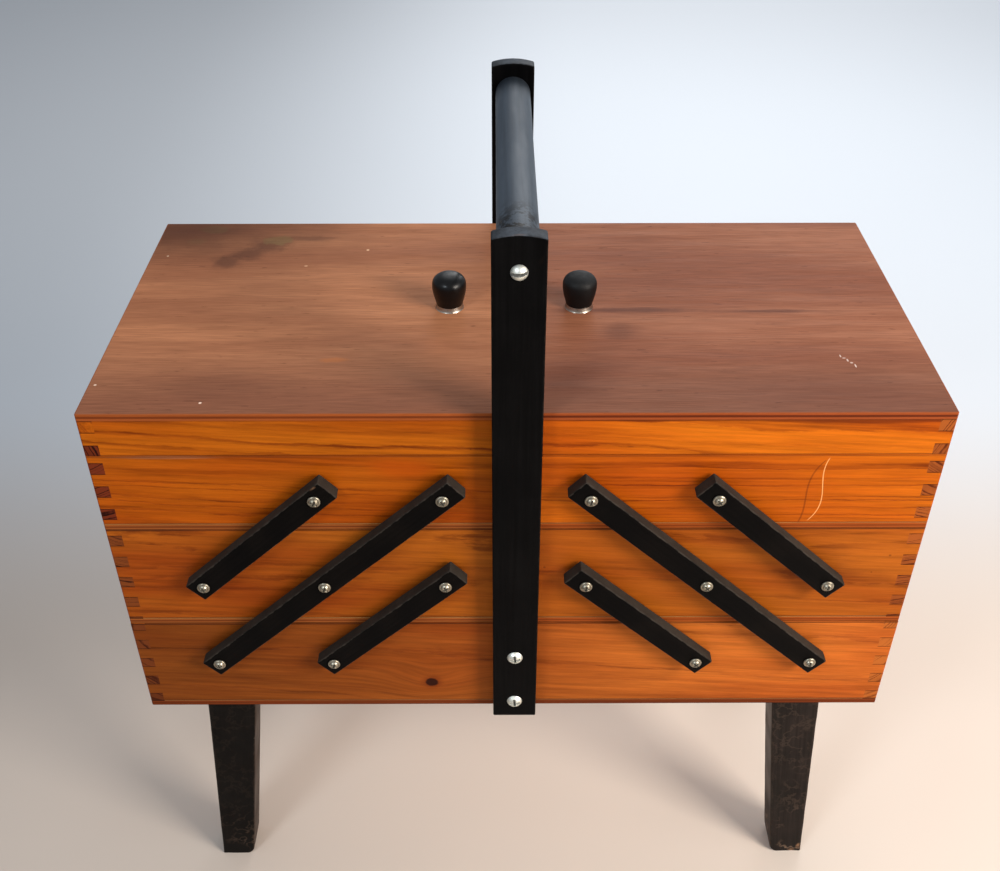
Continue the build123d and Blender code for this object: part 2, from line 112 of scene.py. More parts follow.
class Drive(Enum):
    """What a screw's head is turned with."""

    CROSS = "cross"
    SLOT = "slot"


# ---------------------------------------------------------------- shader wiring


class Wiring:
    """Adds nodes to one shader tree and joins them up."""

    def __init__(self, tree: bpy.types.NodeTree) -> None:
        """Keeps the tree that the nodes go into."""
        self.tree = tree

    def put(self, socket: Socket, value: object) -> None:
        """Links an input to another node's output, or sets its constant.

        Args:
            socket: the input.
            value: an output, a number, a vector or a colour.
        """
        if isinstance(value, Socket):
            self.tree.links.new(value, socket)
        elif socket.type == "RGBA":
            socket.default_value = (*tuple(value)[:3], 1.0)
        else:
            socket.default_value = value

    def node(self, kind: str, inputs: dict[str, object], **settings: object) -> bpy.types.Node:
        """Adds a node.

        Args:
            kind: Blender's name of the node type.
            inputs: values or sockets by input name.
            settings: the node's own properties.

        Returns:
            The new node.
        """
        made = self.tree.nodes.new(kind)
        for name, value in settings.items():
            setattr(made, name, value)
        for name, value in inputs.items():
            self.put(made.inputs[name], value)
        return made

    def listed(self, kind: str, operation: str, values: Sequence[object]) -> bpy.types.Node:
        """Adds a node whose inputs are filled in order.

        Args:
            kind: Blender's name of the node type.
            operation: the sum that it works out.
            values: values or sockets.

        Returns:
            The new node.
        """
        made = self.node(kind, {}, operation=operation)
        for socket, value in zip(made.inputs, values):
            self.put(socket, value)
        return made

    def math(self, operation: str, *values: object) -> Socket:
        """Result of a Math node on the values."""
        return self.listed("ShaderNodeMath", operation, values).outputs[0]

    def times(self, first: object, second: object) -> Socket:
        """Product of two numbers."""
        return self.math("MULTIPLY", first, second)

    def plus(self, first: object, second: object) -> Socket:
        """Sum of two numbers."""
        return self.math("ADD", first, second)

    def minus(self, first: object, second: object) -> Socket:
        """Difference of two numbers."""
        return self.math("SUBTRACT", first, second)

    def over(self, first: object, second: object) -> Socket:
        """Quotient of two numbers."""
        return self.math("DIVIDE", first, second)

    def times_plus(self, value: object, factor: object, more: object) -> Socket:
        """A number times a factor, plus another number."""
        return self.math("MULTIPLY_ADD", value, factor, more)

    def size(self, value: object) -> Socket:
        """A number without its sign."""
        return self.math("ABSOLUTE", value)

    def vector(self, operation: str, *values: object) -> Socket:
        """Result of a Vector Math node on the values."""
        output = "Value" if operation in ("LENGTH", "DOT_PRODUCT", "DISTANCE") else "Vector"
        return self.listed("ShaderNodeVectorMath", operation, values).outputs[output]

    def scaled(self, vector: object, scale: object) -> Socket:
        """A vector or colour times a number."""
        made = self.listed("ShaderNodeVectorMath", "SCALE", [vector])
        self.put(made.inputs["Scale"], scale)
        return made.outputs["Vector"]

    def split(self, vector: Socket) -> tuple[Socket, Socket, Socket]:
        """The three parts of a vector."""
        return tuple(self.node("ShaderNodeSeparateXYZ", {"Vector": vector}).outputs)

    def join(self, x: object, y: object, z: object) -> Socket:
        """A vector made of three numbers."""
        return self.node("ShaderNodeCombineXYZ", {"X": x, "Y": y, "Z": z}).outputs[0]

    def ease(self, value: object, low: object, high: object, start: float = 0.0, end: float = 1.0) -> Socket:
        """Smooth step from start, where the value is low, to end, where it is high."""
        inputs = {"Value": value, "From Min": low, "From Max": high, "To Min": start, "To Max": end}
        return self.node("ShaderNodeMapRange", inputs, interpolation_type="SMOOTHSTEP").outputs[0]

    def fade(self, value: object, low: object, high: object) -> Socket:
        """Smooth step from 1, where the value is low, to 0, where it is high."""
        return self.ease(value, low, high, 1.0, 0.0)

    def band(self, value: object, rise: Pair, fall: Pair) -> Socket:
        """Mask that goes up between the values of rise and down between those of fall."""
        return self.times(self.ease(value, *rise), self.fade(value, *fall))

    def noise(self, vector: Socket, scale: object = 1.0, detail: float = 2.0, rough: float = 0.5) -> Socket:
        """Noise from 0 to 1 at a point."""
        inputs = {"Vector": vector, "Scale": scale, "Detail": detail, "Roughness": rough}
        return self.node("ShaderNodeTexNoise", inputs).outputs["Fac"]

    def drawn_out(
        self, place: Socket, scales: Point, detail: float = 2.0, rough: float = 0.5, shift: object = None
    ) -> Socket:
        """Noise that is drawn out along some axes.

        Args:
            place: the point.
            scales: how fast the noise changes along each axis, per metre.
            detail: octaves of the noise.
            rough: strength of the finer octaves.
            shift: moves the noise to another part of itself.

        Returns:
            The noise, from 0 to 1.
        """
        if shift is None:
            return self.noise(self.vector("MULTIPLY", place, scales), 1.0, detail, rough)
        return self.noise(self.vector("MULTIPLY_ADD", place, scales, shift), 1.0, detail, rough)

    def blend(self, amount: object, first: object, second: object) -> Socket:
        """Colour between two colours.

        Args:
            amount: share of the second.
            first: colour at 0.
            second: colour at 1.

        Returns:
            The mixed colour.
        """
        made = self.node("ShaderNodeMix", {}, data_type="RGBA")
        for index, value in ((0, amount), (6, first), (7, second)):
            self.put(made.inputs[index], value)
        return made.outputs[2]

    def cover(self, colour: Socket, paint: Colour, mask: Socket, strength: object) -> Socket:
        """Colour with a paint laid over it where the mask is, by the strength at most."""
        return self.blend(self.times(mask, strength), colour, paint)

    def effect(self, group: bpy.types.NodeTree, inputs: dict[str, object]) -> bpy.types.NodeOutputs:
        """Places a shader group and returns its outputs."""
        made = self.node("ShaderNodeGroup", {}, node_tree=group)
        for name, value in inputs.items():
            self.put(made.inputs[name], value)
        return made.outputs


class Kind(Enum):
    """Kinds of socket on a shader group."""

    NUMBER = "NodeSocketFloat"
    VECTOR = "NodeSocketVector"


class Group:
    """A shader group while it is being built."""

    def __init__(self, name: str, inputs: dict[str, object], outputs: Sequence[str]) -> None:
        """Makes the group's sockets.

        Args:
            name: the group's name.
            inputs: default of each input; a tuple makes it a vector, a number a float.
            outputs: names of the outputs, all numbers.
        """
        self.tree = bpy.data.node_groups.new(name, "ShaderNodeTree")
        for label, default in inputs.items():
            kind = Kind.VECTOR if isinstance(default, tuple) else Kind.NUMBER
            self.add(label, "INPUT", kind).default_value = default
        for label in outputs:
            self.add(label, "OUTPUT", Kind.NUMBER)
        self.wiring = Wiring(self.tree)
        self.given = self.tree.nodes.new("NodeGroupInput").outputs
        self.result = self.tree.nodes.new("NodeGroupOutput").inputs

    def add(self, label: str, way: str, kind: Kind) -> bpy.types.NodeTreeInterfaceSocket:
        """Adds a socket to the group."""
        return self.tree.interface.new_socket(name=label, in_out=way, socket_type=kind.value)

    def give(self, **results: Socket) -> bpy.types.NodeTree:
        """Links the outputs by name and returns the finished group."""
        for label, socket in results.items():
            self.wiring.put(self.result[label], socket)
        return self.tree


class Effects:
    """The surface effects that the finishes share, each a shader group built once."""

    @cached_property
    def growth(self) -> bpy.types.NodeTree:
        """Growth rings cut by a board.

        Rings are circles round the pith, a line along the vector's first axis, bent by slow noise
        along the board. The distance from the pith over the ring width gives a saw tooth, which
        darkens slowly over one year and ends sharply.
        """
        inputs = {"Vector": ORIGIN, "Ring Width": 0.004, "Wander": 0.01, "Seed": 0.0}
        group = Group("growth_rings", inputs, ("Late", "Fibre", "Tone"))
        w, given = group.wiring, group.given
        place = given["Vector"]
        seed = w.join(given["Seed"], w.times(given["Seed"], 3.7), w.times(given["Seed"], 7.9))
        slow_place = w.vector("MULTIPLY_ADD", place, (3.4, 11.0, 11.0), seed)
        slow = w.node("ShaderNodeTexNoise", {"Vector": slow_place, "Scale": 1.0, "Detail": 2.0})
        bend = w.vector("SUBTRACT", slow.outputs["Color"], (0.5, 0.5, 0.5))
        bend = w.scaled(bend, w.times(given["Wander"], 2.0))
        _, across, up = w.split(w.vector("ADD", place, bend))
        radius = w.vector("LENGTH", w.join(0.0, across, up))
        ripple = w.minus(w.drawn_out(place, (17.0, 70.0, 70.0), 6.0, 0.66, seed), 0.5)
        count = w.times_plus(ripple, 1.1, w.over(radius, given["Ring Width"]))
        inputs = {"W": w.times_plus(count, 0.43, given["Seed"]), "Scale": 1.0, "Detail": 1.0}
        uneven = w.node("ShaderNodeTexNoise", inputs, noise_dimensions="1D").outputs["Fac"]
        count = w.times_plus(uneven, 3.0, count)
        line = w.math("POWER", w.band(w.math("FRACT", count), (0.52, 0.86), (0.89, 1.0)), 1.2)
        inputs = {"W": w.math("FLOOR", count)}
        strong = w.node("ShaderNodeTexWhiteNoise", inputs, noise_dimensions="1D").outputs["Value"]
        strength = w.times_plus(strong, 0.7, 0.3)
        faded = w.ease(w.drawn_out(place, (9.0, 60.0, 60.0), shift=seed), 0.3, 0.6, 0.45, 1.0)
        late = w.times(line, w.times(strength, faded))
        fibre = w.drawn_out(place, (16.0, 430.0, 430.0), 5.0, 0.72, seed)
        late = w.times(late, w.ease(fibre, 0.3, 0.65, 1.2, 0.6))
        tone = w.drawn_out(place, (5.0, 26.0, 26.0), 3.0, shift=seed)
        return group.give(Late=late, Fibre=fibre, Tone=tone)

    @cached_property
    def facing(self) -> bpy.types.NodeTree:
        """How squarely the surface faces along an axis of the piece, from 0 to 1."""
        group = Group("facing_axis", {"Axis": UPWARD, "Low": 0.6, "High": 0.9}, ("Both", "Ahead"))
        w, given = group.wiring, group.given
        normal = w.node("ShaderNodeTexCoord", {}).outputs["Normal"]
        along = w.vector("DOT_PRODUCT", normal, given["Axis"])
        both, ahead = (w.ease(value, given["Low"], given["High"]) for value in (w.size(along), along))
        return group.give(Both=both, Ahead=ahead)

    @cached_property
    def box_rim(self) -> bpy.types.NodeTree:
        """Nearness to a box's edges.

        Of the distances to the box's three pairs of faces, the middle one in size is the distance
        to the nearest edge along the surface. Noise breaks up the line.
        """
        inputs = {
            "Vector": ORIGIN, "Centre": ORIGIN, "Half Size": (1.0, 1.0, 1.0), "Width": 0.001, "Seed": 0.0,
        }
        group = Group("box_rim", inputs, ("Rim",))
        w, given = group.wiring, group.given
        inside = w.vector("ABSOLUTE", w.vector("SUBTRACT", given["Vector"], given["Centre"]))
        x, y, z = w.split(w.vector("SUBTRACT", given["Half Size"], inside))
        smaller, larger = w.math("MINIMUM", x, y), w.math("MAXIMUM", x, y)
        middle = w.math("MAXIMUM", smaller, w.math("MINIMUM", larger, z))
        place = w.vector("ADD", given["Vector"], w.join(given["Seed"], 0.0, 0.0))
        broken = w.times_plus(w.noise(place, 90.0, 3.0, 0.65), 2.0, -0.25)
        reach = w.times(given["Width"], broken)
        return group.give(Rim=w.fade(w.over(middle, reach), 0.35, 1.0))

    @cached_property
    def worn_rim(self) -> bpy.types.NodeTree:
        """Wear that eats in from a piece's own edges, from its distance to them, broken by noise."""
        inputs = {"Vector": ORIGIN, "Distance": 0.0, "Width": 0.001, "Grain": 160.0}
        group = Group("worn_rim", inputs, ("Rim",))
        w, given = group.wiring, group.given
        broken = w.times_plus(w.noise(given["Vector"], given["Grain"], 4.0, 0.7), 3.2, -1.1)
        reach = w.math("MAXIMUM", w.times(given["Width"], broken), 0.00001)
        return group.give(Rim=w.fade(w.over(given["Distance"], reach), 0.3, 1.1))

    @cached_property
    def dust(self) -> bpy.types.NodeTree:
        """Dust on what faces up when the carrier is shut, thinner where noise has wiped it."""
        inputs = {"Vector": ORIGIN, "Low": 0.2, "High": 0.9, "Patch": 60.0, "Wiped": 0.5}
        group = Group("settled_dust", inputs, ("Dust",))
        w, given = group.wiring, group.given
        normal = w.node("ShaderNodeTexCoord", {}).outputs["Normal"]
        upward = w.ease(w.split(normal)[2], given["Low"], given["High"])
        patch = w.ease(w.noise(given["Vector"], given["Patch"], 4.0, 0.65), 0.3, 0.7)
        fine = w.noise(given["Vector"], w.times(given["Patch"], 22.0), 2.0, 0.7)
        kept = w.minus(1.0, w.times(given["Wiped"], patch))
        return group.give(Dust=w.times(w.times(upward, kept), w.times_plus(fine, 0.8, 0.6)))

    @cached_property
    def specks(self) -> bpy.types.NodeTree:
        """Small round specks: cells of a Voronoi pattern, of which a random share holds a dot."""
        group = Group("specks", {"Vector": ORIGIN, "Density": 60.0, "Share": 0.1, "Size": 0.1}, ("Speck",))
        w, given = group.wiring, group.given
        inputs = {"Vector": given["Vector"], "Scale": given["Density"]}
        cells = w.node("ShaderNodeTexVoronoi", inputs, feature="F1")
        chosen = w.math("LESS_THAN", w.split(cells.outputs["Color"])[0], given["Share"])
        dot = w.fade(cells.outputs["Distance"], w.times(given["Size"], 0.6), given["Size"])
        return group.give(Speck=w.times(chosen, dot))

    @cached_property
    def smudge(self) -> bpy.types.NodeTree:
        """A patch with a ragged border: an ellipse whose distance from its centre is bent by noise."""
        inputs = {
            "Vector": ORIGIN, "Centre": ORIGIN, "Reach": (0.02, 0.01, 0.02), "Ragged": 0.4, "Grain": 120.0,
            "Along": 1.0, "Soft": 0.3,
        }
        group = Group("smudge", inputs, ("Smudge",))
        w, given = group.wiring, group.given
        away = w.vector("SUBTRACT", given["Vector"], given["Centre"])
        away = w.vector("DIVIDE", away, given["Reach"])
        place = w.vector("MULTIPLY", given["Vector"], w.join(given["Along"], 1.0, 1.0))
        ragged = w.minus(w.noise(place, given["Grain"], 4.0, 0.6), 0.5)
        distance = w.plus(w.vector("LENGTH", away), w.times(ragged, given["Ragged"]))
        return group.give(Smudge=w.fade(distance, w.minus(1.0, given["Soft"]), 1.0))

    @cached_property
    def stroke(self) -> bpy.types.NodeTree:
        """A fine S-shaped line across a board's face.

        Its middle follows x = start + lean h + bow h (1 - h) + twist h (1 - h) (1 - 2 h), where h
        runs from 0 to 1 over its height in Z, and it fades out past both ends.
        """
        inputs = {
            "Vector": ORIGIN, "Start": ORIGIN, "Height": 0.04, "Lean": 0.0, "Bow": 0.0, "Twist": 0.0,
            "Width": 0.0005,
        }
        group = Group("stroke", inputs, ("Stroke",))
        w, given = group.wiring, group.given
        x, _, z = w.split(w.vector("SUBTRACT", given["Vector"], given["Start"]))
        share = w.over(z, given["Height"])
        hump = w.times(share, w.minus(1.0, share))
        turn = w.times_plus(w.times_plus(share, -2.0, 1.0), given["Twist"], given["Bow"])
        middle = w.times_plus(share, given["Lean"], w.times(hump, turn))
        line = w.fade(w.over(w.size(w.minus(x, middle)), given["Width"]), 0.4, 1.0)
        return group.give(Stroke=w.times(line, w.band(share, (0.0, 0.04), (0.96, 1.0))))


effects = Effects()


class Surface:
    """A material while it is being built: its wiring, coordinates and shader."""

    def __init__(self, name: str) -> None:
        """Starts a material with one Principled shader."""
        self.material = bpy.data.materials.new(name)
        self.material.use_nodes = True
        tree = self.material.node_tree
        self.wiring = Wiring(tree)
        self.shader = tree.nodes["Principled BSDF"]
        self.place = self.wiring.node("ShaderNodeTexCoord", {}).outputs["Object"]

    def attribute(self, name: str, output: str = "Fac") -> Socket:
        """A field stored in the mesh of a new piece."""
        return self.wiring.node("ShaderNodeAttribute", {}, attribute_name=name).outputs[output]

    def facing(self, axis: Point, low: float, high: float) -> bpy.types.NodeOutputs:
        """Masks of what faces along an axis both ways, and ahead alone."""
        return self.wiring.effect(effects.facing, {"Axis": axis, "Low": low, "High": high})

    def box_rim(self, box: tuple[Vector, Vector], width: float, seed: float) -> Socket:
        """Mask of a board's edges.

        Args:
            box: lowest and highest corner of the board.
            width: how far the wear reaches in.
            seed: moves the pattern.

        Returns:
            The mask.
        """
        low, high = box
        inputs = {
            "Vector": self.place, "Centre": tuple((low + high) / 2), "Half Size": tuple((high - low) / 2),
            "Width": width, "Seed": seed,
        }
        return self.wiring.effect(effects.box_rim, inputs)["Rim"]

    def speckled(
        self, colour: Socket, place: Socket, spread: tuple[float, float, float], tint: Colour, strength: float
    ) -> Socket:
        """Lays small specks over a colour.

        Args:
            colour: what lies under them.
            place: the point.
            spread: cells per metre, share of them with a speck, and its size in cells.
            tint: the specks' colour.
            strength: how strongly they cover.

        Returns:
            The colour with the specks.
        """
        density, share, size = spread
        inputs = {"Vector": place, "Density": density, "Share": share, "Size": size}
        mask = self.wiring.effect(effects.specks, inputs)["Speck"]
        return self.wiring.cover(colour, tint, mask, strength)

    def finish(self, bump: Socket | None = None, depth: float = 0.0002, **inputs: object) -> Material:
        """Fills the shader's inputs, named with underscores for spaces.

        Args:
            bump: height from 0 to 1, or None.
            depth: height of the bump in metres.
            inputs: values or sockets by input name.

        Returns:
            The finished material.
        """
        for name, value in inputs.items():
            self.wiring.put(self.shader.inputs[name.replace("_", " ")], value)
        if bump is not None:
            heights = {"Height": bump, "Strength": 1.0, "Distance": depth}
            relief = self.wiring.node("ShaderNodeBump", heights)
            self.wiring.put(self.shader.inputs["Normal"], relief.outputs[0])
        return self.material


# ---------------------------------------------------------------- marks on the wood


@dataclass(frozen=True)
class Smudge:
    """A stain, a rubbed patch or a painted shadow, of its own colour."""

    centre: Point
    reach: Point
    colour: Colour
    strength: float = 0.6
    ragged: float = 0.8
    grain: float = 120.0
    soft: float = 0.5
    along: float = 1.0

    def paint(self, surface: Surface, colour: Socket) -> Socket:
        """Colour with the smudge laid over it."""
        inputs = {
            "Vector": surface.place, "Centre": self.centre, "Reach": self.reach,
            "Ragged": self.ragged, "Grain": self.grain, "Along": self.along, "Soft": self.soft,
        }
        mask = surface.wiring.effect(effects.smudge, inputs)["Smudge"]
        return surface.wiring.cover(colour, self.colour, mask, self.strength)


@dataclass(frozen=True)
class Stroke:
    """A curved scratch, or the fine shadow beside one."""

    start: Point
    height: float
    lean: float
    bow: float
    twist: float
    width: float
    colour: Colour
    strength: float

    def paint(self, surface: Surface, colour: Socket) -> Socket:
        """Colour with the scratch drawn over it."""
        inputs = {
            "Vector": surface.place, "Start": self.start, "Height": self.height,
            "Lean": self.lean, "Bow": self.bow, "Twist": self.twist, "Width": self.width,
        }
        mask = surface.wiring.effect(effects.stroke, inputs)["Stroke"]
        return surface.wiring.cover(colour, self.colour, mask, self.strength)


@dataclass(frozen=True)
class Knot:
    """A small dead knot, round which the rings swell."""

    centre: Point
    radius: float
    push: float = 0.011
    ring_colour: Colour = shown(112, 44, 14)
    heart_colour: Colour = shown(40, 18, 12)

    def swell(self, surface: Surface) -> Socket:
        """Distance by which the rings are pushed out near the knot: a bell curve round its centre."""
        w = surface.wiring
        away = w.vector("MULTIPLY", w.vector("SUBTRACT", surface.place, self.centre), (0.6, 1.0, 1.0))
        share = w.over(w.vector("LENGTH", away), 4.2 * self.radius)
        return w.times(w.math("EXPONENT", w.times(w.math("POWER", share, 2.0), -1.0)), self.push)

    def paint(self, surface: Surface, colour: Socket) -> Socket:
        """Colour with the knot's redder ring and dark heart."""
        ring_reach = (2.3 * self.radius, THROUGH, 2.0 * self.radius)
        heart_reach = (1.2 * self.radius, THROUGH, 1.1 * self.radius)
        ring = Smudge(self.centre, ring_reach, self.ring_colour, 0.65, 0.5, 200.0, 0.7)
        heart = Smudge(self.centre, heart_reach, self.heart_colour, 0.95, 0.35, 300.0, 0.3)
        return heart.paint(surface, ring.paint(surface, colour))


# ---------------------------------------------------------------- finishes


@dataclass(frozen=True)
class PineTone:
    """Colours of one tier's pine, and how far its first joint line lies under the top."""

    early: Colour
    deep: Colour
    late: Colour
    end_light: Colour
    end_dark: Colour
    first_joint: float

    def with_ends(self, light: Colour, dark: Colour) -> "PineTone":
        """The same pine with other colours on its end grain."""
        return replace(self, end_light=light, end_dark=dark)


@dataclass(frozen=True)
class BoardFinish:
    """Varnished pine of one board, with its own rings."""

    node: str
    tone: PineTone
    grain: Grain
    seed: float
    pith: Pair = (0.03, -0.03)
    ring_width: float = 0.0035
    wander: float = 0.012
    late_strength: float = 0.75
    run_out: float = 0.06
    roughness: float = 0.40
    # tone from the left end to the right: partly the wood's own, partly painted shade where the light falls off
    # to the left and beside the handle post
    shade: Pair = (1.0, 1.0)
    # strength of the painted shade in the seams above and below
    seam_shade: float = 0.8
    pale_above: float = 1.0
    finger_height: float = 7.5 * MM
    rim_width: float = 1.6 * MM
    marks: tuple[Smudge | Stroke | Knot, ...] = ()

    def rings(self, surface: Surface, centre: Point) -> bpy.types.NodeOutputs:
        """Growth rings on the board.

        Args:
            surface: the board's surface.
            centre: middle of the board.

        Returns:
            The rings' late wood, fibre and slow tone.
        """
        w = surface.wiring
        parts = w.split(w.vector("SUBTRACT", surface.place, centre))
        along, across, up = (parts[index] for index in self.grain.value)
        for mark in self.marks:
            if isinstance(mark, Knot):
                up = w.plus(up, mark.swell(surface))
        up = w.times_plus(along, self.run_out, w.minus(up, self.pith[1]))
        place = w.join(along, w.minus(across, self.pith[0]), up)
        inputs = {"Vector": place, "Ring Width": self.ring_width, "Wander": self.wander, "Seed": self.seed}
        return w.effect(effects.growth, inputs)

    def build(self) -> Material:
        """The board's material."""
        surface = Surface(f"pine_{self.node}")
        w, tone = surface.wiring, self.tone
        low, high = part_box(self.node)
        centre = tuple((low + high) / 2)
        rings = self.rings(surface, centre)
        axis = tuple(float(index == self.grain.value[0]) for index in range(3))
        cut = surface.facing(axis, 0.6, 0.85)["Both"]
        deep = w.ease(rings["Tone"], 0.3, 0.72)
        colour = w.blend(deep, tone.early, tone.deep)
        colour = w.cover(colour, tone.late, rings["Late"], self.late_strength)
        fibre = w.ease(rings["Fibre"], 0.28, 0.72, 0.76, 1.18)
        x, _, z = w.split(surface.place)
        # darker towards one end: partly the wood's own tone, partly painted shade
        colour = w.scaled(colour, w.times(fibre, w.ease(x, low.x, high.x, *self.shade)))
        # end grain of the pins, with a dark line at each finger's height: painted shade, with some dirt, in the
        # gap at the finger's edge
        figure = w.ease(w.plus(rings["Late"], w.times(deep, 0.3)), 0.05, 0.55)
        end = w.blend(figure, tone.end_light, tone.end_dark)
        fingers = w.over(w.minus(z, high.z - tone.first_joint), self.finger_height)
        off_joint = w.size(w.minus(w.math("FRACT", w.plus(fingers, 0.5)), 0.5))
        colour = w.blend(w.times(cut, w.math("LESS_THAN", z, self.pale_above)), colour, end)
        colour = w.cover(colour, JOINT_SHADE_AND_DIRT, cut, w.ease(off_joint, 0.03, 0.09, 0.75, 0.0))
        for mark in self.marks:
            colour = mark.paint(surface, colour)
        colour = w.cover(colour, tone.end_light, surface.box_rim((low, high), self.rim_width, self.seed), 0.22)
        # painted shade, with some dirt, in the seams above and below, not on the flat rims that show when a
        # tray is open
        half_height = ((high - low) / 2).z
        off_middle = w.size(w.minus(z, centre[2]))
        seam_shade = w.ease(off_middle, half_height - 1.2 * MM, half_height - 0.3 * MM, 0.0, self.seam_shade)
        flat = surface.facing(UPWARD, 0.6, 0.85)["Both"]
        colour = w.cover(colour, JOINT_SHADE_AND_DIRT, seam_shade, w.times_plus(flat, -0.7, 1.0))
        colour = surface.speckled(colour, surface.place, (130.0, 0.02, 0.12), shown(70, 28, 10), 0.5)
        rough = w.times_plus(rings["Fibre"], 0.16, self.roughness - 0.08)
        rough = w.times_plus(cut, 0.2, rough)
        relief = w.plus(w.times(rings["Late"], 0.5), w.times(rings["Fibre"], 0.5))
        return surface.finish(
            relief, 0.16 * MM, Base_Color=colour, Roughness=rough, Specular_IOR_Level=0.045,
        )


@dataclass(frozen=True)
class StainedPanel:
    """Brown-stained plywood lid, its three plies showing at the edges, greyed towards the front by a painted
    sheen.
    """

    node: str
    seed: float
    marks: tuple[Smudge, ...] = ()
    light: Colour = shown(166, 107, 77)
    dark: Colour = shown(136, 81, 58)
    grey: Colour = shown(112, 71, 55)
    face_ply: Colour = shown(150, 72, 34)
    core_ply: Colour = shown(98, 40, 18)
    under: Colour = shown(196, 134, 78)
    pore_colour: Colour = shown(62, 28, 18)
    speck_colour: Colour = shown(220, 190, 160)

    def build(self) -> Material:
        """The panel's material."""
        surface = Surface(f"stained_{self.node}")
        w, place = surface.wiring, surface.place
        low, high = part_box(self.node)
        seed = (self.seed, 2.0 * self.seed, 0.0)
        broad = w.drawn_out(place, (4.0, 24.0, 24.0), 3.0, shift=seed)
        streak = w.drawn_out(place, (11.0, 190.0, 190.0), 4.0, 0.62, seed)
        fibre = w.drawn_out(place, (60.0, 1500.0, 1500.0), shift=seed)
        pore = w.drawn_out(place, (120.0, 900.0, 900.0), 1.0, shift=seed)
        colour = w.blend(w.ease(broad, 0.3, 0.7), self.light, self.dark)
        colour = w.blend(w.ease(streak, 0.35, 0.75, 0.0, 0.5), colour, self.dark)
        _, y, z = w.split(place)
        # greyer towards the front: painted sheen, the reflection of the surroundings in the varnish
        front = w.ease(w.times_plus(broad, 0.05, y), -0.075, 0.0, 0.75, 0.0)
        colour = w.blend(front, colour, self.grey)
        colour = w.scaled(colour, w.ease(fibre, 0.2, 0.8, 0.80, 1.14))
        colour = w.blend(w.ease(pore, 0.70, 0.80, 0.0, 0.5), colour, self.pore_colour)
        for mark in self.marks:
            colour = mark.paint(surface, colour)
        colour = surface.speckled(colour, place, (34.0, 0.05, 0.028), self.speck_colour, 0.8)
        # plies: three bands over the thickness, seen on the sawn edges
        height = w.over(w.minus(z, low.z), high.z - low.z)
        wobble = w.times_plus(broad, 0.1, w.times_plus(streak, 0.06, height))
        edge = w.blend(w.band(wobble, (0.36, 0.44), (0.70, 0.78)), self.face_ply, self.core_ply)
        edge = w.scaled(edge, w.ease(streak, 0.2, 0.8, 0.8, 1.15))
        top = surface.facing(UPWARD, 0.55, 0.85)
        colour = w.blend(w.minus(1.0, top["Both"]), colour, edge)
        bottom = w.times(top["Both"], w.minus(1.0, top["Ahead"]))
        colour = w.blend(bottom, colour, w.scaled(self.under, w.ease(streak, 0.25, 0.75, 0.78, 1.12)))
        colour = w.cover(colour, self.face_ply, surface.box_rim((low, high), 1.2 * MM, self.seed), 0.55)
        rough = w.ease(streak, 0.2, 0.8, 0.44, 0.60)
        relief = w.plus(w.times(streak, 0.4), w.times(fibre, 0.6))
        return surface.finish(
            relief, 0.10 * MM, Base_Color=colour, Roughness=rough, Specular_IOR_Level=0.05,
        )


@dataclass(frozen=True)
class PlyFinish:
    """Thin plywood floor of the base or a tray: pale faces, banded edges."""

    node: str
    seed: float
    edge_light: Colour
    edge_dark: Colour
    face: Colour = shown(206, 150, 88)

    def build(self) -> Material:
        """The floor's material."""
        surface = Surface(f"ply_{self.node}")
        w, place = surface.wiring, surface.place
        low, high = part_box(self.node)
        offset = (self.seed, self.seed, 0.0)
        streak = w.drawn_out(place, (9.0, 150.0, 150.0), 4.0, 0.6, offset)
        fibre = w.drawn_out(place, (60.0, 1400.0, 1400.0), shift=offset)
        face = w.scaled(self.face, w.ease(streak, 0.2, 0.8, 0.78, 1.12))
        height = w.over(w.minus(w.split(place)[2], low.z), high.z - low.z)
        edge = w.blend(w.band(height, (0.26, 0.38), (0.60, 0.72)), self.edge_light, self.edge_dark)
        edge = w.scaled(edge, w.ease(streak, 0.2, 0.8, 0.75, 1.2))
        # darker at the bottom and top of the edge: painted shade, with some dirt, where the floor meets the
        # boards
        joint = w.plus(w.ease(height, 0.05, 0.22, 0.7, 0.0), w.ease(height, 0.86, 0.97, 0.0, 0.5))
        edge = w.blend(joint, edge, JOINT_SHADE_AND_DIRT)
        colour = w.blend(surface.facing(UPWARD, 0.55, 0.85)["Both"], edge, face)
        return surface.finish(fibre, 0.08 * MM, Base_Color=colour, Roughness=0.6, Specular_IOR_Level=0.05)


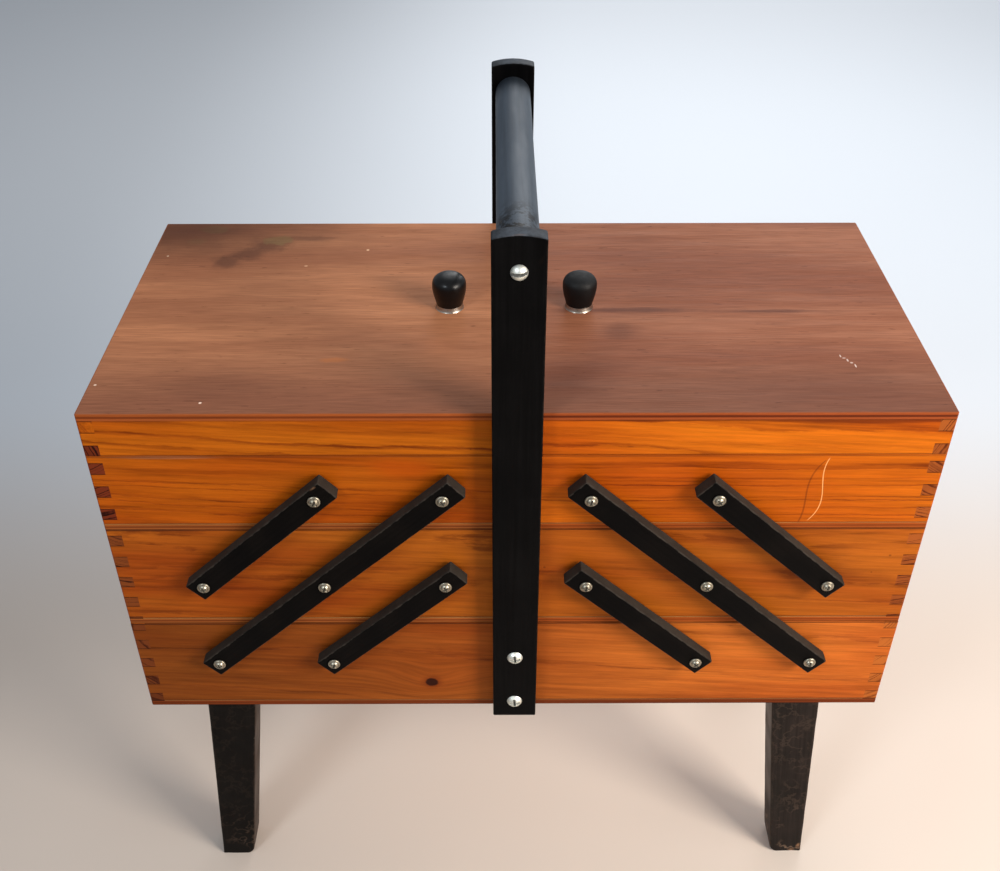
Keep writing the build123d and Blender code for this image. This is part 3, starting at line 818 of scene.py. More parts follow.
@dataclass(frozen=True)
class BlackPaint:
    """Black paint over wood, rubbed at the edges and dusty on top."""

    name: str
    black: Colour = (0.0013, 0.0011, 0.0012)
    warm: Colour = (0.0034, 0.0025, 0.0021)
    rubbed: Colour = (0.030, 0.022, 0.017)
    dust_colour: Colour = (0.050, 0.042, 0.034)
    scuff_colour: Colour = shown(120, 98, 82)
    bare: Colour = shown(150, 112, 84)
    brown: Colour = shown(66, 50, 40)
    speck_colour: Colour = shown(170, 160, 150)
    dust: float = 0.7
    dust_low: float = 0.25
    wiped: float = 0.5
    rim_width: float = 0.0010
    rim_strength: float = 0.6
    scuff: float = 0.0
    scuff_top: float = 0.05
    side_brown: float = 0.0
    roughness: float = 0.42
    seed: float = 0.0

    def build(self) -> Material:
        """The paint's material."""
        surface = Surface(self.name)
        w = surface.wiring
        local = w.vector("ADD", surface.attribute("grain_place", "Vector"), (self.seed, 0.0, 0.0))
        streak = w.drawn_out(local, (16.0, 520.0, 520.0), 3.0, 0.6)
        patch = w.noise(local, 34.0, 3.0)
        colour = w.blend(w.ease(patch, 0.35, 0.75), self.black, self.warm)
        colour = w.scaled(colour, w.ease(streak, 0.25, 0.8, 0.7, 1.5))
        distance = surface.attribute("edge_distance")
        inputs = {"Vector": local, "Distance": distance, "Width": self.rim_width, "Grain": 190.0}
        rim = w.effect(effects.worn_rim, inputs)["Rim"]
        colour = w.cover(colour, self.rubbed, rim, self.rim_strength)
        inputs = {"Vector": local, "Low": self.dust_low, "High": 0.8, "Patch": 70.0, "Wiped": self.wiped}
        dust = w.times(w.effect(effects.dust, inputs)["Dust"], self.dust)
        colour = w.blend(dust, colour, self.dust_colour)
        if self.side_brown:
            side = surface.facing(RIGHTWARD, 0.7, 0.95)["Both"]
            side = w.times(side, w.ease(streak, 0.2, 0.7, 0.4, 1.0))
            colour = w.cover(colour, self.brown, side, self.side_brown)
        if self.scuff:
            foot = w.ease(w.split(surface.place)[2], 0.0, self.scuff_top, 1.0, 0.12)
            worm = w.size(w.minus(w.noise(local, 95.0, 3.0, 0.55), 0.5))
            where = w.ease(w.noise(local, 40.0, 1.0), 0.40, 0.54)
            line = w.times(w.fade(worm, 0.0, 0.045), where)
            colour = w.cover(colour, self.scuff_colour, line, w.times(foot, self.scuff))
        colour = surface.speckled(colour, local, (95.0, 0.035, 0.07), self.speck_colour, 0.55)
        colour = w.blend(surface.attribute("chip"), colour, self.bare)
        rough = w.ease(patch, 0.3, 0.7, self.roughness - 0.08, self.roughness + 0.08)
        rough = w.plus(rough, w.times(dust, 0.35))
        relief = w.plus(w.times(streak, 0.7), w.times(patch, 0.3))
        return surface.finish(
            relief, 0.12 * MM, Base_Color=colour, Roughness=rough, Specular_IOR_Level=0.045,
        )


@dataclass(frozen=True)
class GripPaint:
    """Black paint of the handle bar, a powdery blue grey on top: worn so by hands, and partly a painted
    reflection of the bright surroundings.
    """

    name: str
    middle: Point
    half_length: float
    black: Colour = (0.0040, 0.0038, 0.0042)
    chalk_and_reflection: Colour = (0.058, 0.076, 0.098)
    brown: Colour = (0.150, 0.105, 0.075)

    def build(self) -> Material:
        """The grip's material."""
        surface = Surface(self.name)
        w = surface.wiring
        y = w.split(w.vector("SUBTRACT", surface.place, self.middle))[1]
        up = w.split(w.node("ShaderNodeTexCoord", {}).outputs["Normal"])[2]
        mottled = w.drawn_out(surface.place, (110.0, 16.0, 110.0), 5.0, 0.65)
        streak = w.drawn_out(surface.place, (260.0, 7.0, 260.0), 3.0, 0.6)
        # lighter and bluer where it faces up: worn paint, partly a painted reflection of the bright
        # surroundings
        cover = w.ease(w.times_plus(mottled, 0.4, up), -0.05, 0.55)
        cover = w.times(cover, w.ease(w.size(y), 0.72 * self.half_length, self.half_length, 1.0, 0.35))
        cover = w.times(cover, w.ease(streak, 0.2, 0.7, 0.72, 1.10))
        colour = w.blend(cover, self.black, self.chalk_and_reflection)
        ragged = w.plus(y, w.times(mottled, 0.02))
        near = w.ease(ragged, -0.42 * self.half_length, -0.72 * self.half_length)
        dents = w.noise(surface.place, 210.0, 4.0, 0.7)
        colour = w.cover(colour, self.black, near, w.ease(dents, 0.45, 0.56))
        colour = w.cover(colour, self.brown, near, w.ease(dents, 0.64, 0.71, 0.0, 0.7))
        rough = w.ease(mottled, 0.3, 0.7, 0.42, 0.58)
        relief = w.plus(w.times(mottled, 0.2), w.times(dents, w.times_plus(near, 0.9, 0.1)))
        return surface.finish(
            relief, 0.22 * MM, Base_Color=colour, Roughness=rough, Specular_IOR_Level=0.12,
        )


@dataclass(frozen=True)
class KnobLacquer:
    """Black lacquer of a turned knob."""

    name: str
    seed: float
    dust: float
    roughness: float
    coat: float
    base: Colour = (0.0026, 0.0026, 0.0029)
    dusty: Colour = (0.034, 0.037, 0.039)

    def build(self) -> Material:
        """The lacquer's material."""
        surface = Surface(self.name)
        w = surface.wiring
        place = w.vector("ADD", surface.place, (self.seed, 0.0, 0.0))
        inputs = {"Vector": place, "Low": 0.1, "High": 0.95, "Patch": 140.0, "Wiped": 0.6}
        dust = w.times(w.effect(effects.dust, inputs)["Dust"], self.dust)
        colour = w.blend(dust, self.base, self.dusty)
        mottled = w.ease(w.noise(place, 320.0, 3.0), 0.3, 0.7, self.roughness, self.roughness + 0.1)
        rough = w.plus(mottled, w.times(dust, 0.5))
        return surface.finish(
            w.noise(place, 110.0, 2.0), 0.35 * MM, Base_Color=colour, Roughness=rough,
            Coat_Weight=self.coat, Coat_Roughness=0.12, Specular_IOR_Level=0.22,
        )


@dataclass(frozen=True)
class MetalFinish:
    """Plain metal with tarnish, and painted shade with some dirt in its recesses."""

    name: str
    bright: Colour
    dull: Colour
    roughness: float = 0.24
    has_recess: bool = True
    grime_and_shade: Colour = (0.016, 0.013, 0.010)

    def build(self) -> Material:
        """The metal's material."""
        surface = Surface(self.name)
        w = surface.wiring
        tarnish = w.noise(surface.place, 420.0, 4.0, 0.65)
        colour = w.blend(w.ease(tarnish, 0.35, 0.75), self.bright, self.dull)
        rough = w.ease(tarnish, 0.3, 0.75, self.roughness, self.roughness + 0.22)
        metal = 1.0
        if self.has_recess:
            # in the recesses: painted shade with some dirt, darker and not metal
            recess = surface.attribute("recess")
            dirt_and_shade_mask = w.times(recess, w.ease(tarnish, 0.2, 0.6, 1.0, 0.8))
            colour = w.blend(dirt_and_shade_mask, colour, self.grime_and_shade)
            rough = w.times_plus(recess, 0.3, rough)
            metal = w.times_plus(dirt_and_shade_mask, -1.0, 1.0)
        scratches = w.drawn_out(surface.place, (900.0, 900.0, 2400.0))
        return surface.finish(scratches, 0.03 * MM, Base_Color=colour, Metallic=metal, Roughness=rough)


# ---------------------------------------------------------------- surfaces worked out with numpy


@dataclass
class Sheet:
    """A surface as a grid of points, rows by columns, that wraps round in its columns.

    Without poles the rows wrap as well, as on a ring. Otherwise each end is closed by a fan to its
    pole.
    """

    points: np.ndarray
    poles: np.ndarray | None = None
    fields: dict[str, np.ndarray] = field(default_factory=dict)

    @property
    def loop(self) -> bool:
        """Whether the rows wrap round, as on a ring."""
        return self.poles is None

    def vertices(self) -> np.ndarray:
        """All points in one list: the grid row by row, then the two poles."""
        flat = self.points.reshape(-1, 3)
        return flat if self.loop else np.vstack([flat, self.poles])

    def moved(self, points: np.ndarray, fields: dict[str, np.ndarray]) -> "Sheet":
        """The same closed grid at other points, listed as vertices lists them, with its fields."""
        return Sheet(points[:-2].reshape(self.points.shape), points[-2:], fields)

    def faces(self) -> tuple[np.ndarray, np.ndarray]:
        """Quads of the grid, and triangles of the fans at the poles."""
        rows, columns = self.points.shape[:2]
        row_count = rows if self.loop else rows - 1
        row, column = np.meshgrid(np.arange(row_count), np.arange(columns), indexing="ij")
        here, beside = row * columns, (column + 1) % columns
        after = (row + 1) % rows * columns
        quads = np.stack([here + column, here + beside, after + beside, after + column], -1).reshape(-1, 4)
        if self.loop:
            return quads, np.zeros((0, 3), int)
        ring = np.arange(columns)
        following = (ring + 1) % columns
        low_pole, last_row = rows * columns, (rows - 1) * columns
        first = np.stack([following, ring, np.full(columns, low_pole)], -1)
        last = np.stack([last_row + ring, last_row + following, np.full(columns, low_pole + 1)], -1)
        return quads, np.vstack([first, last])


def new_piece(
    name: str, sheets: Sequence[Sheet], copies: Sequence[tuple[np.ndarray, np.ndarray]] | None = None
) -> bpy.types.Object:
    """Makes one object of several closed sheets, each repeated at every place.

    Args:
        name: the piece's name.
        sheets: closed surfaces with the same fields.
        copies: a turn (3 by 3) and a shift for each copy, or None for one copy as it stands.

    Returns:
        The object, at the origin with its place in its mesh and its faces pointing outwards.
    """
    points, quads, triangles, fields, start = [], [], [], {}, 0
    for turn, shift in copies or [(np.eye(3), np.zeros(3))]:
        for sheet in sheets:
            flat = sheet.vertices() @ turn.T + shift
            four, three = sheet.faces()
            corners = flat[np.vstack([four[:, :3], four[:, [0, 2, 3]], three])]
            volume = np.einsum("ij,ij->", corners[:, 0], np.cross(corners[:, 1], corners[:, 2]))
            if volume < 0:
                four, three = four[:, ::-1], three[:, ::-1]
            points.append(flat)
            quads.append(four + start)
            triangles.append(three + start)
            for label, values in sheet.fields.items():
                fields.setdefault(label, []).append(values)
            start += len(flat)
    mesh = bpy.data.meshes.new(name)
    mesh.from_pydata(np.vstack(points).tolist(), [], np.vstack(quads).tolist() + np.vstack(triangles).tolist())
    for label, parts in fields.items():
        values = np.concatenate(parts)
        kind, slot = ("FLOAT_VECTOR", "vector") if values.ndim == 2 else ("FLOAT", "value")
        layer = mesh.attributes.new(label, kind, "POINT")
        layer.data.foreach_set(slot, values.astype(np.float32).ravel())
    mesh.shade_smooth()
    mesh.set_sharp_from_angle(angle=math.radians(38))
    mesh.update()
    piece = bpy.data.objects.new(name, mesh)
    bpy.context.scene.collection.objects.link(piece)
    return piece


@dataclass(frozen=True)
class Outline:
    """Rounded rectangle given by shares, so that it fits sections of any size.

    Each point is (1 - t) A + t B, where A and B are corner centres plus a corner radius in some
    direction: t is 0 on the corner arcs and runs from 0 to 1 along each flat.
    """

    arc_steps: int = 5
    flat_shares: tuple[float, ...] = (0.02, 0.06, 0.16, 0.32, 0.5, 0.68, 0.84, 0.94, 0.98)

    def points(self, half_x: np.ndarray, half_y: np.ndarray, corner: np.ndarray) -> np.ndarray:
        """Points of the outline for each row.

        Args:
            half_x: half widths, one per row.
            half_y: half depths, one per row.
            corner: corner radii, one per row.

        Returns:
            Array of rows by points by 2.
        """
        signs = np.array([(1, 1), (-1, 1), (-1, -1), (1, -1)], float)
        quarter = np.linspace(0, math.pi / 2, self.arc_steps + 1)
        corner_index = np.repeat(np.arange(4), len(quarter) + len(self.flat_shares))
        share = np.tile(np.concatenate([np.zeros(len(quarter)), self.flat_shares]), 4)
        angle_a = np.concatenate([quarter, np.full(len(self.flat_shares), math.pi / 2)])
        angle_a = np.tile(angle_a, 4) + corner_index * math.pi / 2
        angle_b = (corner_index + 1) * math.pi / 2
        reach = np.stack([half_x, half_y], -1)[:, None, :] - corner[:, None, None]
        radius = corner[:, None, None]
        start, stop = (
            signs[index % 4] * reach + radius * np.stack([np.cos(angle), np.sin(angle)], -1)
            for index, angle in ((corner_index, angle_a), (corner_index + 1, angle_b))
        )
        return (1 - share)[:, None] * start + share[:, None] * stop


@dataclass(frozen=True)
class Chip:
    """A dent with bare wood: where it is on the bar (along, across, through), its radius and depth."""

    place: Point
    radius: float
    depth: float


@dataclass(frozen=True)
class Bar:
    """A bar of rounded rectangular section with rounded ends.

    The section is carried along the bar. Near an end it shrinks by r - r sin(a) at the distance
    r - r cos(a) from the end, a quarter circle, and rings then close the flat end.
    """

    length: float
    half_across: Pair
    half_through: Pair
    corner: float
    low_round: float
    high_round: float
    chips: tuple[Chip, ...]
    seed: int
    waver: float = 0.08 * MM
    wear_reach: float = 1.2 * MM
    step: float = 3.0 * MM

    def stations(self) -> tuple[np.ndarray, np.ndarray, np.ndarray]:
        """Place along the bar, inset and scale of the section at each row."""
        turn = np.linspace(0, math.pi / 2, 5)
        caps = np.array([0.3, 0.7, 0.93, 0.985])
        low, high, plain = self.low_round, self.high_round, np.ones(len(caps))
        middle = np.linspace(low, self.length - high, max(int(self.length / self.step), 4))[1:-1]
        near = low * 1.5 + np.array([0.4, 1.2]) * MM
        far = self.length - (high * 1.5 + np.array([1.2, 0.4]) * MM)
        inner = np.concatenate([near, middle[(middle > near[1]) & (middle < far[0])], far])
        rise, bend = np.cos(turn), np.sin(turn)
        along = np.concatenate([
            0.0 * plain, low - low * rise, inner, self.length - high + high * rise[::-1], self.length * plain,
        ])
        inset = np.concatenate([
            low * plain, low - low * bend, np.zeros(len(inner)), high - high * bend[::-1], high * plain,
        ])
        scale = np.concatenate([caps, np.ones(2 * len(turn) + len(inner)), caps[::-1]])
        return along, inset, scale

    def sheet(self, place: Callable[[np.ndarray], np.ndarray]) -> Sheet:
        """The bar's surface.

        Args:
            place: turns local points (along, across, through) into the frame's own.

        Returns:
            A closed sheet with the fields grain_place, edge_distance and chip.
        """
        along, inset, scale = self.stations()
        half_x, half_y = (
            first + (last - first) * (along / self.length)
            for first, last in (self.half_across, self.half_through)
        )
        corner = np.maximum(self.corner - 0.6 * inset, 0.2 * self.corner)
        flat = Outline().points(half_x - inset, half_y - inset, corner) * scale[:, None, None]
        local = np.concatenate([np.broadcast_to(along[:, None, None], (*flat.shape[:2], 1)), flat], -1)
        plain = Sheet(local, np.array([ORIGIN, (self.length, 0.0, 0.0)]))
        points = plain.vertices()
        wide, deep = (
            np.concatenate([np.repeat(half, flat.shape[1]), half[[0, -1]]]) for half in (half_x, half_y)
        )
        gaps = np.stack([
            wide - np.abs(points[:, 1]), deep - np.abs(points[:, 2]),
            np.minimum(points[:, 0], self.length - points[:, 0]),
        ], -1)
        edge = np.sort(gaps, -1)[:, 1]
        worn, chipped = self.worn(points, edge)
        return plain.moved(place(worn), {"grain_place": points, "edge_distance": edge, "chip": chipped})

    def worn(self, points: np.ndarray, edge: np.ndarray) -> tuple[np.ndarray, np.ndarray]:
        """Wear, which only takes wood away.

        Rounded edges give way by a slow seeded wave, and each chip sinks by a bell curve round
        its middle, both towards the bar's axis.

        Args:
            points: local points of the bar.
            edge: distance of each from the nearest edge.

        Returns:
            The points after wear, and how bare each is, from 0 to 1.
        """
        chance = np.random.default_rng(self.seed)
        waves = chance.uniform(60, 260, (4, 3)), chance.uniform(0, 2 * math.pi, 4)
        wave = np.sin(points @ waves[0].T + waves[1]).mean(-1) * 0.5 + 0.5
        sink = self.waver * wave * np.exp(-edge / self.wear_reach)
        bare = np.zeros(len(points))
        for chip in self.chips:
            near = np.exp(-np.sum((points - np.array(chip.place)) ** 2, -1) / chip.radius**2)
            sink = sink + chip.depth * near
            bare = np.maximum(bare, np.clip(2.2 * near - 0.7, 0, 1))
        inward = points * np.array([0.0, 1.0, 1.0])
        size = np.maximum(np.linalg.norm(inward, axis=-1, keepdims=True), 1e-6)
        return points - inward / size * sink[:, None], bare


def turned_rings(profile: np.ndarray, columns: int) -> np.ndarray:
    """Points of revolution: each (r, z) of the profile becomes (r cos a, r sin a, z) round the axis."""
    angle = np.linspace(0, 2 * math.pi, columns, endpoint=False)
    radius, height = profile[:, :1], np.broadcast_to(profile[:, 1:], (len(profile), columns))
    return np.stack([radius * np.cos(angle), radius * np.sin(angle), height], -1)


def turned(profile: np.ndarray, columns: int) -> Sheet:
    """Turned solid: the rings of a profile of (r, z), closed at its first and last point on the axis."""
    poles = np.array([(0.0, 0.0, profile[0, 1]), (0.0, 0.0, profile[-1, 1])])
    return Sheet(turned_rings(profile[1:-1], columns), poles)


def turned_ring(profile: np.ndarray, columns: int = 48) -> Sheet:
    """Turned ring: a closed profile of (r, z) carried round the axis."""
    return Sheet(turned_rings(profile, columns))


def soft_step(value: np.ndarray, low: float, high: float) -> np.ndarray:
    """Cubic step from 0 at low to 1 at high."""
    share = np.clip((value - low) / (high - low), 0, 1)
    return share * share * (3 - 2 * share)


def clear_of_recess(sheets: Sequence[Sheet]) -> Sequence[Sheet]:
    """Gives plain sheets an empty recess field, so that they join sheets that have one."""
    for sheet in sheets:
        sheet.fields.setdefault("recess", np.zeros(len(sheet.vertices())))
    return sheets


@dataclass(frozen=True)
class Screw:
    """Round-head screw, upright, with the seat of its head at z = seat.

    Above the rim the head is a cap of a sphere, lowered where the cross or slot is cut: by the
    drive's share of its height times a soft-edged mask.
    """

    head_radius: float
    head_height: float
    shank_radius: float
    tip: float
    seat: float
    drive: Drive
    drive_half: float = 0.45 * MM
    drive_share: float = 0.6
    drive_soft: float = 0.16 * MM

    def profile(self) -> np.ndarray:
        """Profile (r, z): a pointed shank, the flat under the head, and the head's cap."""
        head, rise, shank, tip, seat = (
            self.head_radius, self.head_height, self.shank_radius, self.tip, self.seat,
        )
        sphere = (head**2 + rise**2) / (2 * rise)
        radii = head * np.sin(np.linspace(math.pi / 2, 0, 20))[:-1]
        dome = np.sqrt(sphere**2 - radii**2) - (sphere - rise) + seat
        thread = [(0.0, tip), (0.3 * shank, tip), (shank, tip + shank), (shank, seat - 0.2 * MM), (shank, seat)]
        rim = [(0.9 * head, seat), (0.98 * head, seat + 0.04 * MM)]
        return np.vstack([thread, rim, np.stack([radii, dome], -1), [(0.0, seat + rise)]])

    def sheet(self) -> Sheet:
        """The screw's surface, with the field recess."""
        made = turned(self.profile(), 56)
        points = made.vertices()
        half, soft, reach = self.drive_half, self.drive_soft, 0.66 * self.head_radius
        x, y = np.abs(points[:, 0]), np.abs(points[:, 1])
        beside_x, beside_y = (1 - soft_step(value, half - soft, half + soft) for value in (x, y))
        # recess field: painted shade with some dirt in the cut; along a slot it reaches a little past the cut's
        # edges
        if self.drive is Drive.SLOT:
            cut = beside_y
            dirt_and_shade = 1 - soft_step(y, half + 0.2 * MM, half + 0.4 * MM)
        else:
            within_x, within_y = (1 - soft_step(value, reach - soft, reach) for value in (x, y))
            cut = dirt_and_shade = np.maximum(beside_x * within_y, beside_y * within_x)
        above = soft_step(points[:, 2], self.seat + 0.05 * MM, self.seat + 0.25 * MM)
        floor = self.seat + (1 - self.drive_share) * self.head_height
        points[:, 2] -= cut * above * np.maximum(points[:, 2] - floor, 0)
        return made.moved(points, {"recess": dirt_and_shade * above})


def washer_ring(inner: float, outer: float, low: float, high: float, crown: float = 0.0) -> Sheet:
    """Washer with softly rounded rims; its top rises as a sine arch, as a pressed cup washer's does.

    Args:
        inner: radius of its hole.
        outer: its own radius.
        low: height of its underside.
        high: height of its rims.
        crown: rise of its top midway.

    Returns:
        The washer, upright round the axis.
    """
    share = np.linspace(0, 1, 9)
    soft = 0.25 * (high - low)
    top = high + crown * np.sin(math.pi * share) - soft * (np.abs(2 * share - 1) ** 8)
    upper = np.stack([inner + (outer - inner) * share, top], -1)
    lower = [(outer, low), (outer - soft, low), (inner + soft, low), (inner, low)]
    return turned_ring(np.vstack([upper, lower]))


def outward_turn(face: Face, angle: float) -> np.ndarray:
    """Turn that points a piece's +Z out of the front or back wall, after a spin about it."""
    spin = np.array([(math.cos(angle), -math.sin(angle), 0), (math.sin(angle), math.cos(angle), 0), (0, 0, 1)])
    lay = np.array([(-face.value, 0, 0), (0, 0, face.value), (0, 1, 0)], float)
    return lay @ spin


def dress(node: str, material: Material) -> str:
    """Gives a CAD node its finish and returns its name."""
    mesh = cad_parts[node].data
    mesh.materials.clear()
    mesh.materials.append(material)
    return node


def dress_all(finishes: Sequence[BoardFinish | PlyFinish | StainedPanel]) -> list[str]:
    """Gives each finish to its own CAD node and returns their names."""
    return [dress(finish.node, finish.build()) for finish in finishes]


def settle(piece: bpy.types.Object, material: Material, body: str, node: str) -> str:
    """Gives a new piece its finish and lets it stand for a CAD node.

    Args:
        piece: the new piece.
        material: its finish.
        body: what it rides on.
        node: the CAD node.

    Returns:
        The piece's name.
    """
    piece.data.materials.append(material)
    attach(piece, body)
    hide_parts(node)
    return piece.name


# ---------------------------------------------------------------- sub-assemblies

LID_PINE = PineTone(
    shown(212, 112, 20), shown(186, 82, 12), shown(118, 38, 8),
    shown(120, 54, 24), shown(58, 20, 10), 0.0,
)
TOP_PINE = PineTone(
    shown(208, 106, 18), shown(184, 80, 12), shown(116, 40, 8),
    shown(130, 62, 30), shown(60, 22, 10), 4.1 * MM,
)
MID_PINE = PineTone(
    shown(202, 108, 30), shown(168, 72, 18), shown(108, 38, 12),
    shown(150, 78, 38), shown(84, 34, 16), 3.9 * MM,
)
BASE_PINE = PineTone(
    shown(194, 104, 38), shown(162, 74, 22), shown(108, 42, 16),
    shown(150, 76, 36), shown(84, 36, 18), -2.2 * MM,
)


@dataclass(frozen=True)
class Lamp:
    """A square soft light aimed at a point."""

    name: str
    place: Point
    aim: Point
    size: float
    power: float
    colour: Colour

    def build(self) -> None:
        """Makes the light."""
        data = bpy.data.lights.new(f"light_{self.name}", "AREA")
        data.shape, data.size, data.energy, data.color = "SQUARE", self.size, self.power, self.colour
        light = bpy.data.objects.new(f"light_{self.name}", data)
        light.location = self.place
        light.rotation_euler = (Vector(self.aim) - Vector(self.place)).to_track_quat("-Z", "Y").to_euler()
        bpy.context.scene.collection.objects.link(light)


@dataclass
class Studio:
    """Pale floor, soft lights and the camera."""

    camera_place: Point = (-0.0103, -0.5575, 0.7012)
    looking: Point = (0.00339, 0.79909, -0.60120)
    lens: float = 41.77
    sensor: float = 36.0
    nearest: float = 0.01
    farthest: float = 50.0
    floor_half: float = 6.0
    air: Colour = (0.88, 0.92, 1.0)
    air_strength: float = 0.42
    lamps: tuple[Lamp, ...] = (
        Lamp("key", (0.82, -0.70, 0.80), (0.06, 0.0, 0.18), 0.42, 12.0, (1.0, 0.90, 0.80)),
        Lamp("glow", (0.95, -0.55, 0.75), (0.1, 0.0, 0.2), 0.9, 3.5, (1.0, 0.92, 0.84)),
        Lamp("fill", (-0.62, -0.95, 1.10), (-0.05, 0.0, 0.22), 0.3, 5.0, (0.84, 0.93, 1.0)),
        Lamp("back", (0.3, 1.1, 1.1), (0.0, 0.0, 0.3), 1.2, 5.0, (0.95, 0.97, 1.0)),
        Lamp("wash", (0.5, 1.9, 1.3), (0.2, 1.0, 0.0), 1.2, 11.0, (1.0, 0.98, 0.96)),
    )

    def build(self) -> None:
        """Makes the floor, the lights and the camera."""
        self.make_floor()
        for lamp in self.lamps:
            lamp.build()
        self.make_world()
        self.make_camera()
        bpy.context.scene.view_settings.view_transform = "Standard"

    def make_floor(self) -> None:
        """Makes the plain floor, warm in front and cool at the back, with painted shade darkening it towards
        the left.
        """
        mesh = bpy.data.meshes.new("studio_floor")
        signs = ((-1, -1), (1, -1), (1, 1), (-1, 1))
        corners = [(x * self.floor_half, y * self.floor_half, 0) for x, y in signs]
        mesh.from_pydata(corners, [], [(0, 1, 2, 3)])
        floor = bpy.data.objects.new("studio_floor", mesh)
        bpy.context.scene.collection.objects.link(floor)
        surface = Surface("floor_paper")
        w = surface.wiring
        cloud = w.noise(surface.place, 2.2, 3.0)
        x, y, _ = w.split(surface.place)
        near = w.blend(w.ease(cloud, 0.3, 0.7), (0.74, 0.65, 0.57), (0.70, 0.61, 0.53))
        colour = w.blend(w.ease(y, 0.08, 0.46), near, (0.80, 0.85, 0.90))
        # darker towards the left: painted shade of the light falling off
        colour = w.scaled(colour, w.ease(x, -0.60, 0.15, 0.62, 1.0))
        mesh.materials.append(surface.finish(Base_Color=colour, Roughness=0.85))

    def make_world(self) -> None:
        """Makes the soft even light all round."""
        world = bpy.data.worlds.new("studio_air")
        world.use_nodes = True
        back = world.node_tree.nodes["Background"]
        back.inputs["Color"].default_value = (*self.air, 1.0)
        back.inputs["Strength"].default_value = self.air_strength
        bpy.context.scene.world = world

    def make_camera(self) -> None:
        """Makes the camera at the photograph's viewing angle."""
        data = bpy.data.cameras.new("camera")
        data.lens, data.sensor_width = self.lens, self.sensor
        data.clip_start, data.clip_end = self.nearest, self.farthest
        camera = bpy.data.objects.new("camera", data)
        camera.location = self.camera_place
        camera.rotation_euler = Vector(self.looking).to_track_quat("-Z", "Y").to_euler()
        bpy.context.scene.collection.objects.link(camera)
        bpy.context.scene.camera = camera


@dataclass
class CarrierBase:
    """Base box with its floor and four legs."""

    body: str = "carrier_base"
    leg_top_width: float = 28.8 * MM
    leg_foot_width: float = 20.8 * MM
    leg_splay: float = 12.9 * MM
    foot_round: float = 5.0 * MM
    edge_round: float = 1.0 * MM
    foot_edge: float = 0.5 * MM
    top_edge: float = 0.3 * MM
    leg_waver: float = 0.35 * MM

    def boards(self) -> list[str]:
        """Dresses the boards and the floor."""
        knot = Knot((-0.0481, -0.102, 0.1783), 3.6 * MM)
        # end grain darker on the left than on the right: partly its own colour, partly painted shade of the
        # dimmer left side
        left_ends = BASE_PINE.with_ends(shown(112, 56, 26), shown(66, 28, 13))
        right_ends = BASE_PINE.with_ends(shown(180, 98, 40), shown(118, 58, 23))
        return dress_all([
            BoardFinish(
                "base_front", BASE_PINE, Grain.ALONG_X, 4.3, (0.055, 0.062), 9.0 * MM, 16.0 * MM, 0.5,
                shade=(0.40, 1.09), marks=(knot,),
            ),
            BoardFinish("base_back", BASE_PINE, Grain.ALONG_X, 9.1, (-0.05, 0.05), late_strength=0.5),
            BoardFinish("base_left_end", left_ends, Grain.ALONG_Y, 2.2, (0.06, 0.04)),
            BoardFinish("base_right_end", right_ends, Grain.ALONG_Y, 6.6, (-0.05, 0.05)),
            PlyFinish("base_floor", 3.1, shown(118, 54, 22), shown(100, 44, 18), shown(178, 120, 70)),
        ])

    def leg(self, side: Side, face: Face, material: Material, chips: tuple[Chip, ...]) -> str:
        """Builds one tapered leg: a bar whose section slides outwards on its way down.

        Args:
            side: left or right.
            face: front or back.
            material: its paint.
            chips: knocks at its foot.

        Returns:
            The leg's name.
        """
        node = f"leg_{face.word}_{side.word}"
        low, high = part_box(node)
        height, depth = high.z - low.z, high.y - low.y
        foot_outer = high.x if side is Side.RIGHT else -low.x
        middle_y = (low.y + high.y) / 2

        def place(points: np.ndarray) -> np.ndarray:
            """Along is up from the foot, across is outwards, through is forwards or back."""
            up, across, through = points.T
            share = up / height
            half = (self.leg_foot_width + (self.leg_top_width - self.leg_foot_width) * share) / 2
            outer = foot_outer - self.leg_splay * share
            rise = np.clip(self.foot_round - up, 0, None)
            cut = self.foot_round - np.sqrt(np.maximum(self.foot_round**2 - rise**2, 0))
            x = outer - half + across + cut * np.clip(0.5 - across / (2 * half), 0, 1)
            return np.stack([side.value * x, middle_y + face.value * through, up], -1)

        bar = Bar(
            height, (self.leg_foot_width / 2, self.leg_top_width / 2), (depth / 2, depth / 2), self.edge_round,
            self.foot_edge, self.top_edge, chips, 11 + side.value + 3 * face.value, self.leg_waver,
        )
        piece = new_piece(f"painted_{node}", [bar.sheet(place)])
        return settle(piece, material, self.body, node)

    def legs(self) -> list[str]:
        """Builds the four legs: dusty and brown at the sides, the right ones scuffed and chipped."""
        worn = BlackPaint("leg_paint_left", dust=0.5, dust_low=-0.35, side_brown=0.8, scuff=0.3, seed=1.3)
        worn = replace(worn, rim_width=0.0014, rim_strength=0.7)
        scuffed = replace(
            worn, name="leg_paint_right", black=(0.010, 0.0075, 0.0065), warm=(0.020, 0.014, 0.012),
            side_brown=0.6, scuff=1.0, scuff_top=0.06, rim_width=0.0024, rim_strength=0.9, seed=7.7,
        )
        knocks = (
            Chip((1.5 * MM, 0.2 * self.leg_foot_width, 10.0 * MM), 1.6 * MM, 0.6 * MM),
            Chip((6.0 * MM, 0.42 * self.leg_foot_width, 10.5 * MM), 1.4 * MM, 0.5 * MM),
        )
        looks = ((Side.LEFT, worn.build(), ()), (Side.RIGHT, scuffed.build(), knocks))
        return [self.leg(side, face, paint, chips) for side, paint, chips in looks for face in Face]


